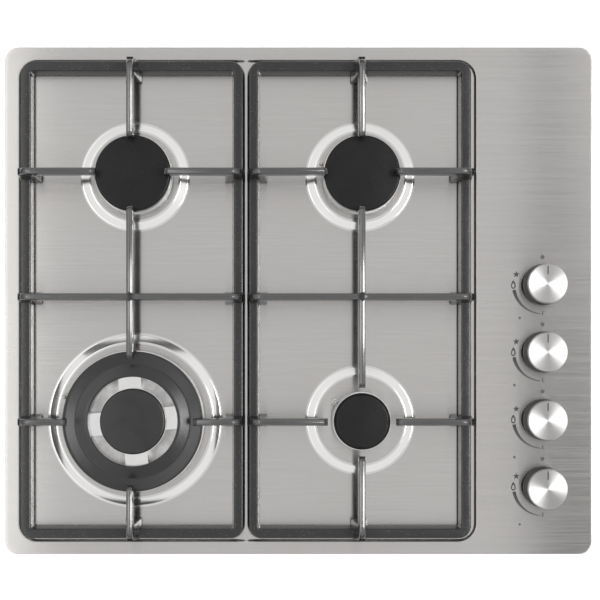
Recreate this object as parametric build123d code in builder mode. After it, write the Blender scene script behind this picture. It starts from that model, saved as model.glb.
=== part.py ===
from build123d import *

import os
from collections import namedtuple
from math import atan, cos, degrees, radians, sin, sqrt

# Built-in gas cooktop with four burners for a 560 x 480 mm worktop cut-out.
# Millimetres. X to the right, Y to the back, Z up. The origin is under the middle of the tray's floor.

# ---------------------------------------------------------------- top plate
plate_width = 580.0
plate_depth = 500.0
plate_corner = 14.0
plate_sheet = 1.0
rim_height = 6.0
rim_bevel = 1.2
rim_gap = 0.6

# Pressed well that holds the pan supports, by the widths of plate left round it.
well_left_margin = 14.5
well_end_margin = 13.0
knob_panel_width = 115.5
well_corner = 18.0
well_depth = 2.0
well_slope = 2.0

# Raised burner seats, each a low cone with a flat top.
seat_rise = 4.0
seat_slope = 7.6
electrode_edge = 0.9

# ---------------------------------------------------------------- tray and fixings
box_depth = 50.0
cutout_margin = 10.0
cutout_play = 2.0
tray_sheet = 0.8
tray_corner = 10.0
tray_fold = 3.0
seal_width = 8.0
seal_inset = 1.3

stud_radius = 2.0
stud_length = 9.0
stud_play = 0.4
lug_size = 13.0
stud_end_inset = 89.0
panel_stud_front_inset = 29.0
panel_stud_rear_inset = 129.0
nut_flats = 7.0
nut_height = 3.2

clamp_rise = 8.0
clamp_pad_length = 44.0
clamp_pad_width = 24.0
clamp_length = 36.0
clamp_width = 14.0
clamp_sheet = 2.0
clamp_screw_radius = 2.0
clamp_screw_length = 14.0
clamp_head_radius = 3.6
clamp_head_height = 2.6
clamp_left_inset = 63.0
clamp_right_inset = 128.0
clamp_end_inset = 20.0

# ---------------------------------------------------------------- burners
left_burner_shift = 1.7
right_burner_shift = 1.3
rear_burner_inset = 112.3
front_burner_inset = 116.2
cap_radius = 36.7
small_cap_radius = 27.4
wok_leg_gap = 5.9
wok_seat_ledge = 8.7
wok_ring_width = 24.7
wok_hub_gap = 11.3
cup_flange = 1.5
cup_wall = 2.5
cup_depth = 27.0
crown_height = 16.0
cap_thickness = 5.5
cap_edge = 1.5
small_cap_edge = 2.5
cap_hollow = 2.4
cap_ring = 2.6
cap_round = 0.9
crown_lip = 0.6
crown_wall = 4.0
crown_floor = 2.5
crown_waist = 7.0
crown_skirt = 6.0
crown_skirt_wall = 2.2
crown_neck = 1.5
crown_taper = 2.0
crown_foot = 1.0
hub_floor_ring = 8.0
port_width = 1.8
port_height = 4.6
port_margin = 0.4
wok_hub_ports = 16
wok_port_turn = 11.25
wok_bridge_width = 22.0
wok_bridge_turn = 5.0
wok_bridge_drop = 1.2
wok_gas_hole = 4.0
wok_trough = 2.6
seat_play = 0.3
fit_gap = 0.05
cup_taper = 1.5
cup_boss = 16.0
cup_boss_height = 15.0
plate_hole_play = 0.5
jet_radius = 3.0
jet_flats = 7.0
jet_height = 9.0
jet_hole = 0.6

electrode_radius = 2.7
electrode_pin = 1.1
electrode_collar = 2.2
electrode_height = 9.0
electrode_top_gap = 3.0
electrode_drop = 20.0
electrode_play = 0.3
electrode_offset = 3.8
# Each electrode stands at its own bearing, so that no support finger hides its spark from the flame.
rear_left_bearing = 172.0
rear_right_bearing = 165.0
front_left_bearing = 161.0
front_right_bearing = 144.0

# ---------------------------------------------------------------- pan supports
support_gap = 1.8
support_left_play = 2.5
support_right_play = 5.7
support_front_play = 3.3
support_rear_play = 2.7
support_corner = 14.0
bar_base = 13.0
bar_top = 9.0
bar_height = 10.5
bar_lift = 5.0
bar_edge = 0.8
support_height = 40.0
finger_width = 6.6
finger_depth = 12.0
finger_tip_depth = 8.5
finger_edge = 1.0
finger_bevel = 4.0
finger_shoulder = 8.0
finger_shoulder_drop = 6.5
tip_overlap = 3.9
wok_tip_overlap = 7.3
web_reach = 5.8
web_drop = 0.3
leg_length = 20.0
leg_top_length = 14.0
side_leg_width = 12.0
end_leg_width = 16.5
leg_lift = 3.6
foot_radius = 3.0
foot_inset = 16.4

# ---------------------------------------------------------------- gas rail, taps and knobs
tap_side_inset = 50.5
tap_front_inset = 67.1
tap_pitch = 66.2
rail_side = 14.0
rail_corner = 2.0
rail_offset = 22.5
rail_front_end = 20.0
rail_wall = 3.0
rail_bore = 9.0
tap_radius = 11.0
tap_roof = 5.5
tap_floor_wall = 2.0
tap_cone_low = 5.5
tap_cone_high = 7.5
tap_cone_height = 18.0
tap_running_gap = 0.06
tap_chamber_radius = 7.9
tap_chamber_height = 16.5
tap_flange_side = 26.0
tap_flange_height = 3.0
tap_boss_radius = 6.5
tap_boss_root = 9.0
tap_outlet_reach = 20.0
tap_port = 2.0
plug_port = 1.6
plug_port_drop = 2.0
plug_play = 0.5
slot_extra = 0.4
spindle_radius = 4.0
spindle_gap = 0.06
collar_radius = 6.4
collar_height = 1.6
collar_gap = 0.3
tang_width = 7.6
tang_thickness = 2.6
tang_depth = 1.8
tang_play = 0.2
push_travel = 3.5
spring_inner = 4.6
spring_outer = 5.9
flat_depth = 1.0
flat_length = 12.0
knob_radius = 20.2
knob_top_radius = 19.3
knob_height = 18.0
knob_gap = 4.0
knob_wall = 2.2
knob_hub = 7.2
knob_groove = 0.5
knob_top_play = 0.4
hub_play = 0.6
face_radius = 19.3
face_height = 3.0
face_edge = 0.8
mark_width = 0.9
mark_length = 8.0
mark_depth = 0.35
mark_margin = 2.2
grommet_outer = 9.0
grommet_neck = 6.0
grommet_height = 2.4

# ---------------------------------------------------------------- gas inlet
inlet_pocket_width = 46.0
inlet_pocket_depth = 44.0
inlet_pocket_rise = 17.0
inlet_side_inset = 28.0
inlet_rear_inset = 26.0
inlet_thread_radius = 10.48
inlet_thread_length = 14.0
inlet_thread_bore = 7.0
inlet_block = 26.0
inlet_block_height = 20.0
thread_chamfer = 1.2
thread_relief = 1.0
thread_relief_length = 2.0

# ---------------------------------------------------------------- feed tubes, ignition, cable gland
tube_radius = 4.0
tube_bend = 16.0
tube_nut_flats = 13.0
tube_nut_length = 9.0
tube_row_offset = 33.5
# How far each tube runs on from its tap before it turns, and where it comes onto its burner's line.
rear_right_tube_run = 49.5
rear_right_tube_join = 59.9
rear_left_tube_run = 199.5
rear_left_tube_join = 71.3
front_left_tube_run = 34.5
front_left_tube_cross = 74.5
front_left_tube_return = 101.3
front_left_tube_join = 66.3
front_right_tube_run = 69.5
front_right_tube_join = 49.9
generator_length = 66.0
generator_width = 40.0
generator_height = 24.0
generator_corner = 4.0
generator_shift = 24.9
generator_rear_inset = 51.0
lead_radius = 1.3
lead_bend = 8.0
lead_turn = 58.5
switch_lead_reach = 30.0
switch_depth = 9.0
switch_length = 18.0
switch_height = 12.0
gland_side_inset = 93.0
gland_height = 30.0
gland_bore = 4.2
gland_neck = 6.0
gland_flange = 8.5
gland_flange_thickness = 1.8
vent_count = 7
vent_pitch = 16.0
vent_row_pitch = 70.0
vent_length = 40.0
vent_width = 4.0

# ================================================================ derived levels and places
worktop_z = box_depth
plate_z = worktop_z + rim_height
rim_z = worktop_z + rim_gap
under_plate_z = plate_z - plate_sheet
well_z = plate_z - well_depth
under_well_z = well_z - plate_sheet
seat_z = well_z + seat_rise
under_seat_z = seat_z - plate_sheet
crown_z = seat_z + cup_flange
cap_z = crown_z + crown_height
cap_top_z = cap_z + cap_thickness
support_top_z = plate_z + support_height
bar_z = well_z + bar_lift
leg_z = well_z + leg_lift
cup_low_z = crown_z - cup_depth
chamber_top_z = under_plate_z - tap_roof
cone_top_z = chamber_top_z - tap_chamber_height
cone_low_z = cone_top_z - tap_cone_height
tap_floor_z = cone_low_z - tap_floor_wall
port_z = cone_low_z + tap_cone_height / 2
plug_low_z = cone_low_z + plug_play
plug_top_z = cone_top_z - plug_play
collar_top_z = chamber_top_z - collar_gap
tang_low_z = plug_top_z - tang_depth
slot_depth = tang_depth + push_travel + slot_extra
knob_z = plate_z + knob_gap
knob_top_z = knob_z + knob_height
face_z = knob_top_z - face_height
spindle_top_z = face_z - knob_wall - knob_top_play
hub_low_z = plate_z + grommet_height + push_travel + hub_play
electrode_shoulder_z = seat_z + electrode_height
electrode_tip_z = cap_z - electrode_top_gap
electrode_low_z = under_seat_z - electrode_drop
leg_top_z = support_top_z - finger_shoulder_drop
switch_z = under_plate_z - tap_flange_height - switch_height
tray_width = plate_width - 2 * cutout_margin - 2 * cutout_play
tray_depth = plate_depth - 2 * cutout_margin - cutout_play
inlet_x = tray_width / 2 - inlet_side_inset
inlet_y = tray_depth / 2 - inlet_rear_inset
gland_x = tray_width / 2 - gland_side_inset
clamp_places = [
    (x, y)
    for x in (clamp_left_inset - tray_width / 2, tray_width / 2 - clamp_right_inset)
    for y in (clamp_end_inset - tray_depth / 2, tray_depth / 2 - clamp_end_inset)
]

# The well fills the plate beside the knobs, and the two pan supports fill the well.
well_width = plate_width - well_left_margin - knob_panel_width
well_length = plate_depth - 2 * well_end_margin
well_x = (well_left_margin - knob_panel_width) / 2
support_width = (well_width - support_left_play - support_gap - support_right_play) / 2
support_length = well_length - support_front_play - support_rear_play
support_mid_x = well_x + (support_left_play - support_right_play) / 2
support_mid_y = (support_front_play - support_rear_play) / 2
left_support_x = support_mid_x - (support_width + support_gap) / 2
right_support_x = support_mid_x + (support_width + support_gap) / 2

# The burners stand under the supports' fingers, and the large one fills the room between the legs.
burner_left_x = left_support_x + left_burner_shift
burner_right_x = right_support_x + right_burner_shift
burner_rear_y = support_mid_y + support_length / 2 - rear_burner_inset
burner_front_y = support_mid_y - support_length / 2 + front_burner_inset
seat_ledge = electrode_offset + electrode_radius + electrode_play + electrode_edge
seat_radius = cap_radius + seat_ledge + seat_slope
wok_seat_radius = support_width / 2 - leg_length - wok_leg_gap
wok_cap_radius = wok_seat_radius - seat_slope - wok_seat_ledge
wok_ring_bore = wok_cap_radius - wok_ring_width
wok_inner_cap_radius = wok_ring_bore - wok_hub_gap
tip_radius = cap_radius - tip_overlap
wok_tip_radius = wok_cap_radius - wok_tip_overlap
generator_x = burner_right_x + generator_shift
generator_y = tray_depth / 2 - generator_rear_inset

tap_x = plate_width / 2 - tap_side_inset
tap_last_y = tap_front_inset - plate_depth / 2

Burner = namedtuple("Burner", "x y seat cap edge tip ports bearing")
burners = {
    "rear_left": Burner(burner_left_x, burner_rear_y, seat_radius, cap_radius, cap_edge, tip_radius, 28,
                        rear_left_bearing),
    "rear_right": Burner(burner_right_x, burner_rear_y, seat_radius, cap_radius, cap_edge, tip_radius, 28,
                         rear_right_bearing),
    "front_left": Burner(burner_left_x, burner_front_y, wok_seat_radius, wok_cap_radius, cap_edge,
                         wok_tip_radius, 36, front_left_bearing),
    "front_right": Burner(burner_right_x, burner_front_y, seat_radius, small_cap_radius, small_cap_edge,
                          tip_radius, 22, front_right_bearing),
}
wok = burners["front_left"]

Tap = namedtuple("Tap", "x y burner")
tap_burners = ("rear_right", "rear_left", "front_left", "front_right")
taps = {
    str(index + 1): Tap(tap_x, tap_last_y + (len(tap_burners) - 1 - index) * tap_pitch, name)
    for index, name in enumerate(tap_burners)
}
rail_x = tap_x + rail_offset

# Where a solid's own origin is: at the middle of its foot, or at the middle of its top.
standing = (Align.CENTER, Align.CENTER, Align.MIN)
hanging = (Align.CENTER, Align.CENTER, Align.MAX)

os.makedirs("parts", exist_ok=True)


def upright(x, y, angle=0.0):
    """A vertical plane through (x, y): its own x points outwards at the angle, its own y points up."""
    turn = radians(angle)
    return Plane(origin=(x, y, 0), x_dir=(cos(turn), sin(turn), 0), z_dir=(sin(turn), -cos(turn), 0))


def facing_back(x, y, z):
    """An upright plane that faces +Y."""
    return Plane(origin=(x, y, z), x_dir=(1, 0, 0), z_dir=(0, 1, 0))


def facing_side(x, y, z, way):
    """An upright plane that faces +X where way is 1, and -X where it is -1."""
    return Plane(origin=(x, y, z), x_dir=(0, 1, 0), z_dir=(way, 0, 0))


def upright_axis(x, y):
    """The vertical axis through (x, y)."""
    return Axis((x, y, 0), (0, 0, 1))


def save(builder, label):
    """Labels a finished piece and writes it under that name."""
    builder.part.label = label
    export_step(builder.part, f"parts/{label}.step")


def cup_neck(burner):
    """Radius of the burner cup's neck, where it passes through the plate."""
    return burner.cap - crown_wall - cup_wall


def electrode_place(burner):
    """Where the burner's electrode stands, just outside its cap."""
    reach = burner.cap + electrode_offset
    turn = radians(burner.bearing)
    return (burner.x + reach * cos(turn), burner.y + reach * sin(turn))


def stud_places():
    """Weld stud places: two at the left wall, two at the right, one at the front and one at the rear."""
    inset = lug_size / 2 + tray_sheet
    side_x = tray_width / 2 - inset
    end_y = tray_depth / 2 - inset
    left_y = tray_depth / 2 - stud_end_inset
    front_y = panel_stud_front_inset - tray_depth / 2
    rear_y = tray_depth / 2 - panel_stud_rear_inset
    return {
        "under_well": [(-side_x, -left_y), (-side_x, left_y), (well_x, -end_y), (well_x, end_y)],
        "under_margin": [(side_x, front_y), (side_x, rear_y)],
    }


def cone_radius(z):
    """Radius of the tap's conical bore at a height."""
    return tap_cone_low + (tap_cone_high - tap_cone_low) * (z - cone_low_z) / tap_cone_height


def knob_side(share):
    """Radius of the knob's tapering side at a share of its height."""
    return knob_radius + (knob_top_radius - knob_radius) * share


# ================================================================ top plate
studs = stud_places()
with BuildPart() as hob_plate:
    with BuildSketch(Plane.XY.offset(rim_z)):
        RectangleRounded(plate_width, plate_depth, plate_corner)
    extrude(amount=plate_z - rim_z)
    chamfer(hob_plate.faces().sort_by(Axis.Z)[-1].edges(), rim_bevel)
    with BuildSketch(Plane.XY.offset(rim_z)):
        RectangleRounded(plate_width - 2 * plate_sheet, plate_depth - 2 * plate_sheet,
                         plate_corner - plate_sheet)
    extrude(amount=under_plate_z - rim_z, mode=Mode.SUBTRACT)
    # The well is a tapered pocket, and the same pocket one sheet lower is its underside.
    with BuildSketch(Plane.XY.offset(under_well_z)):
        with Locations((well_x, 0)):
            RectangleRounded(well_width - 2 * well_slope, well_length - 2 * well_slope,
                             well_corner - well_slope)
    extrude(amount=well_depth + plate_sheet / 2, taper=-degrees(atan(well_slope / well_depth)))
    with BuildSketch(Plane.XY.offset(well_z)):
        with Locations((well_x, 0)):
            RectangleRounded(well_width - 2 * well_slope, well_length - 2 * well_slope,
                             well_corner - well_slope)
    extrude(amount=well_depth, taper=-degrees(atan(well_slope / well_depth)), mode=Mode.SUBTRACT)
    for burner in burners.values():
        with Locations((burner.x, burner.y, well_z)):
            Cone(burner.seat, burner.seat - seat_slope, seat_rise, align=standing)
    for burner in burners.values():
        with Locations((burner.x, burner.y, under_well_z)):
            Cone(burner.seat, burner.seat - seat_slope, seat_rise,
                 align=standing, mode=Mode.SUBTRACT)
        with Locations((burner.x, burner.y, under_well_z)):
            Cylinder(cup_neck(burner) + plate_hole_play, seat_rise + 2 * plate_sheet,
                     align=standing, mode=Mode.SUBTRACT)
        with Locations((*electrode_place(burner), under_well_z)):
            Cylinder(electrode_radius + electrode_play, seat_rise + 2 * plate_sheet,
                     align=standing, mode=Mode.SUBTRACT)
    with Locations(*[(tap.x, tap.y, under_plate_z) for tap in taps.values()]):
        Cylinder(grommet_neck + seat_play, plate_sheet,
                 align=standing, mode=Mode.SUBTRACT)
    with Locations(*[(*place, under_well_z) for place in studs["under_well"]]):
        Cylinder(stud_radius, stud_length, align=hanging)
    with Locations(*[(*place, under_plate_z) for place in studs["under_margin"]]):
        Cylinder(stud_radius, stud_length, align=hanging)
save(hob_plate, "hob_plate")

# ================================================================ tray, seal, nuts and clamps
inset_x = tray_width / 2 - tray_sheet - lug_size / 2
inset_y = tray_depth / 2 - tray_sheet - lug_size / 2
with BuildPart() as bottom_tray:
    with BuildSketch():
        RectangleRounded(tray_width, tray_depth, tray_corner)
    extrude(amount=under_plate_z)
    fillet(bottom_tray.faces().sort_by(Axis.Z)[0].edges(), tray_fold)
    offset(amount=-tray_sheet, openings=bottom_tray.faces().sort_by(Axis.Z)[-1])
    # Raised pads for the worktop clamps, and the raised pocket round the gas inlet.
    with Locations(*[(*place, 0) for place in clamp_places]):
        Box(clamp_pad_length, clamp_pad_width, clamp_rise + tray_sheet,
            align=standing)
        Box(clamp_pad_length - 2 * tray_sheet, clamp_pad_width - 2 * tray_sheet, clamp_rise,
            align=standing, mode=Mode.SUBTRACT)
    with Locations((inlet_x, inlet_y, 0)):
        Box(inlet_pocket_width, inlet_pocket_depth, inlet_pocket_rise,
            align=standing)
        Box(inlet_pocket_width - 2 * tray_sheet, inlet_pocket_depth - 2 * tray_sheet,
            inlet_pocket_rise - tray_sheet, align=standing, mode=Mode.SUBTRACT)
        Cylinder(inlet_thread_radius + seat_play, inlet_pocket_rise + tray_sheet,
                 align=standing, mode=Mode.SUBTRACT)
    with Locations(*[(*place, 0) for place in clamp_places]):
        Cylinder(clamp_screw_radius, clamp_rise + 2 * tray_sheet,
                 align=standing, mode=Mode.SUBTRACT)
    # Lugs bent inwards under the plate, with clearance holes for its weld studs.
    for places, top in ((studs["under_well"], under_well_z), (studs["under_margin"], under_plate_z)):
        for x, y in places:
            reach_x = lug_size if abs(x) < inset_x - 1 else lug_size + 2 * tray_sheet
            reach_y = lug_size if abs(y) < inset_y - 1 else lug_size + 2 * tray_sheet
            with Locations((x, y, top - tray_sheet)):
                Box(reach_x, reach_y, tray_sheet, align=standing)
                Cylinder(stud_radius + stud_play, tray_sheet,
                         align=standing, mode=Mode.SUBTRACT)
    with Locations(Location((gland_x, tray_depth / 2, gland_height), (90, 0, 0))):
        Cylinder(gland_neck, 4 * tray_sheet, mode=Mode.SUBTRACT)
    with BuildSketch():
        with Locations((well_x, 0)):
            with GridLocations(vent_pitch, vent_row_pitch, vent_count, 2):
                SlotOverall(vent_length, vent_width, rotation=90)
    extrude(amount=tray_sheet, mode=Mode.SUBTRACT)
save(bottom_tray, "bottom_tray")

seal_outer_x = plate_width - 2 * (plate_sheet + seal_inset)
seal_outer_y = plate_depth - 2 * (plate_sheet + seal_inset)
with BuildPart() as worktop_seal:
    with BuildSketch(Plane.XY.offset(worktop_z)):
        RectangleRounded(seal_outer_x, seal_outer_y, plate_corner - plate_sheet - seal_inset)
        RectangleRounded(seal_outer_x - 2 * seal_width, seal_outer_y - 2 * seal_width,
                         plate_sheet + seal_inset, mode=Mode.SUBTRACT)
    extrude(amount=under_plate_z - worktop_z)
save(worktop_seal, "worktop_seal")

with BuildPart() as tray_nuts:
    for places, top in ((studs["under_well"], under_well_z), (studs["under_margin"], under_plate_z)):
        with BuildSketch(Plane.XY.offset(top - tray_sheet - nut_height)):
            with Locations(*places):
                RegularPolygon(nut_flats / 2, 6, major_radius=False)
                Circle(stud_radius + fit_gap, mode=Mode.SUBTRACT)
        extrude(amount=nut_height)
save(tray_nuts, "tray_nuts")

with BuildPart() as worktop_clamps:
    with BuildSketch(Plane.XY.offset(clamp_rise - clamp_sheet)):
        with Locations(*clamp_places):
            SlotOverall(clamp_length, clamp_width)
            Circle(clamp_screw_radius + stud_play, mode=Mode.SUBTRACT)
    extrude(amount=clamp_sheet)
save(worktop_clamps, "worktop_clamps")

with BuildPart() as clamp_screws:
    with Locations(*[(x, y, clamp_rise - clamp_sheet) for x, y in clamp_places]):
        Cylinder(clamp_head_radius, clamp_head_height, align=hanging)
        Cylinder(clamp_screw_radius - fit_gap, clamp_screw_length, align=standing)
save(clamp_screws, "clamp_screws")

# ================================================================ gas rail and inlet
rail_front_y = min(tap.y for tap in taps.values()) - rail_front_end
rail_rear_y = inlet_y - inlet_block / 2
with BuildPart() as gas_rail:
    with BuildSketch(facing_back(rail_x, rail_front_y, port_z)):
        RectangleRounded(rail_side, rail_side, rail_corner)
    extrude(amount=rail_rear_y - rail_front_y)
    with BuildSketch(facing_back(rail_x, rail_front_y + rail_wall, port_z)):
        Circle(rail_bore / 2)
    extrude(amount=rail_rear_y - rail_front_y - rail_wall, mode=Mode.SUBTRACT)
save(gas_rail, "gas_rail")

with BuildPart() as gas_inlet:
    with BuildSketch(Plane.XY.offset(inlet_pocket_rise)):
        with Locations(((inlet_x - inlet_block / 2 + rail_x + rail_side / 2) / 2, inlet_y)):
            RectangleRounded(rail_x + rail_side / 2 - inlet_x + inlet_block / 2, inlet_block, rail_corner)
    extrude(amount=inlet_block_height)
    chamfer(gas_inlet.faces().sort_by(Axis.Z)[-1].edges(), rail_corner)
    # The threaded stub hangs through the pocket's roof, with a thread relief where it passes the sheet.
    with Locations((inlet_x, inlet_y, inlet_pocket_rise)):
        Cylinder(inlet_thread_radius - thread_relief, thread_relief_length, align=hanging)
    with Locations((inlet_x, inlet_y, inlet_pocket_rise - thread_relief_length)):
        Cylinder(inlet_thread_radius, inlet_thread_length - thread_relief_length, align=hanging)
    chamfer(gas_inlet.faces().sort_by(Axis.Z)[0].edges(), thread_chamfer)
    with Locations((inlet_x, inlet_y, inlet_pocket_rise - inlet_thread_length)):
        Cylinder(inlet_thread_bore, inlet_thread_length + inlet_block_height / 2,
                 align=standing, mode=Mode.SUBTRACT)
save(gas_inlet, "gas_inlet")

# ================================================================ taps, spindles and knobs
for number, tap in taps.items():
    section = upright(tap.x, tap.y)
    axis = upright_axis(tap.x, tap.y)

    with BuildPart() as tap_body:
        with BuildSketch(section):
            Polygon(*[
                (0, tap_floor_z), (tap_radius, tap_floor_z),
                (tap_radius, under_plate_z - tap_flange_height),
                (tap_radius, under_plate_z), (spindle_radius + spindle_gap, under_plate_z),
                (spindle_radius + spindle_gap, chamber_top_z), (tap_chamber_radius, chamber_top_z),
                (tap_chamber_radius, cone_top_z), (tap_cone_high, cone_top_z), (tap_cone_low, cone_low_z),
                (0, cone_low_z),
            ], align=None)
        revolve(axis=axis)
        with BuildSketch(Plane.XY.offset(under_plate_z - tap_flange_height)):
            with Locations((tap.x, tap.y)):
                RectangleRounded(tap_flange_side, tap_flange_side, rail_corner)
                Circle(tap_radius - 1, mode=Mode.SUBTRACT)
        extrude(amount=tap_flange_height)
        # The inlet boss meets the rail on the right, the outlet boss carries the feed tube on the left.
        with BuildSketch(facing_side(tap.x + tap_boss_root, tap.y, port_z, 1)):
            Circle(tap_boss_radius)
        extrude(amount=rail_x - rail_side / 2 - tap.x - tap_boss_root)
        with BuildSketch(facing_side(tap.x - tap_boss_root, tap.y, port_z, -1)):
            Circle(tap_boss_radius)
        extrude(amount=tap_outlet_reach - tap_boss_root)
        outlet = (tap.x - tap_outlet_reach, tap.y, port_z)
        with BuildSketch(Plane(origin=outlet, x_dir=(0, 1, 0), z_dir=(1, 0, 0))):
            Circle(tap_port)
        extrude(amount=rail_x - rail_side / 2 - tap.x + tap_outlet_reach, mode=Mode.SUBTRACT)
    save(tap_body, f"tap_body_{number}")

    with BuildPart() as tap_plug:
        with BuildSketch(section):
            Polygon(*[
                (0, plug_low_z), (cone_radius(plug_low_z) - tap_running_gap, plug_low_z),
                (cone_radius(plug_top_z) - tap_running_gap, plug_top_z), (0, plug_top_z),
            ], align=None)
        revolve(axis=axis)
        with Locations((tap.x, tap.y, plug_top_z)):
            Box(tang_width + 2 * tang_play, tang_thickness + 2 * tang_play, slot_depth,
                align=hanging, mode=Mode.SUBTRACT)
        # Gas enters the plug's hollow through one side port and leaves by the other.
        with BuildSketch(facing_back(tap.x, tap.y, port_z - plug_port_drop)):
            Circle(plug_port)
        extrude(amount=tap_cone_high, mode=Mode.SUBTRACT)
    save(tap_plug, f"tap_plug_{number}")

    with BuildPart() as tap_spindle:
        with BuildSketch(section):
            Polygon(*[
                (0, collar_top_z - collar_height), (collar_radius, collar_top_z - collar_height),
                (collar_radius, collar_top_z), (spindle_radius, collar_top_z),
                (spindle_radius, spindle_top_z), (0, spindle_top_z),
            ], align=None)
        revolve(axis=axis)
        with Locations((tap.x, tap.y, tang_low_z)):
            Box(tang_width, tang_thickness, collar_top_z - tang_low_z - collar_height / 2,
                align=standing)
        with Locations((tap.x, tap.y + spindle_radius - flat_depth, spindle_top_z)):
            Box(4 * spindle_radius, 2 * flat_depth, flat_length,
                align=(Align.CENTER, Align.MIN, Align.MAX), mode=Mode.SUBTRACT)
    save(tap_spindle, f"tap_spindle_{number}")

    with BuildPart() as tap_spring:
        with BuildSketch(Plane.XY.offset(plug_top_z)):
            with Locations((tap.x, tap.y)):
                Circle(spring_outer)
                Circle(spring_inner, mode=Mode.SUBTRACT)
        extrude(amount=collar_top_z - collar_height - plug_top_z)
    save(tap_spring, f"tap_spring_{number}")

    with BuildPart() as knob:
        with BuildSketch(section):
            Polygon(*[
                (knob_radius - knob_wall, knob_z), (knob_radius, knob_z),
                (knob_side(0.3), knob_z + 0.3 * knob_height),
                (knob_side(0.3) - knob_groove, knob_z + 0.33 * knob_height),
                (knob_side(0.36), knob_z + 0.36 * knob_height), (knob_top_radius, face_z - 2 * knob_groove),
                (knob_top_radius - knob_groove, face_z - knob_groove),
                (knob_top_radius - knob_groove, face_z), (0, face_z), (0, hub_low_z),
                (knob_hub, hub_low_z), (knob_hub, face_z - knob_wall),
                (knob_top_radius - knob_wall, face_z - knob_wall),
            ], align=None)
        revolve(axis=axis)
        with BuildSketch(Plane.XY.offset(hub_low_z)):
            with Locations((tap.x, tap.y)):
                Circle(spindle_radius + spindle_gap)
                with Locations((0, spindle_radius - flat_depth + spindle_gap)):
                    Rectangle(4 * spindle_radius, 2 * spindle_radius, align=(Align.CENTER, Align.MIN),
                              mode=Mode.SUBTRACT)
        extrude(amount=spindle_top_z + knob_top_play - hub_low_z, mode=Mode.SUBTRACT)
    save(knob, f"knob_{number}")

    with BuildPart() as knob_face:
        with BuildSketch(Plane.XY.offset(face_z)):
            with Locations((tap.x, tap.y)):
                Circle(face_radius)
        extrude(amount=face_height)
        chamfer(knob_face.faces().sort_by(Axis.Z)[-1].edges(), face_edge)
        with Locations((tap.x, tap.y + face_radius - mark_margin, knob_top_z)):
            Box(mark_width, mark_length, mark_depth, align=(Align.CENTER, Align.MAX, Align.MAX),
                mode=Mode.SUBTRACT)
    save(knob_face, f"knob_face_{number}")

with BuildPart() as spindle_seals:
    with BuildSketch(Plane.XY.offset(under_plate_z)):
        with Locations(*[(tap.x, tap.y) for tap in taps.values()]):
            Circle(grommet_neck)
            Circle(spindle_radius + seat_play, mode=Mode.SUBTRACT)
    extrude(amount=plate_sheet)
    with BuildSketch(Plane.XY.offset(plate_z)):
        with Locations(*[(tap.x, tap.y) for tap in taps.values()]):
            Circle(grommet_outer)
            Circle(spindle_radius + seat_play, mode=Mode.SUBTRACT)
    extrude(amount=grommet_height)
save(spindle_seals, "spindle_seals")

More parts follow.
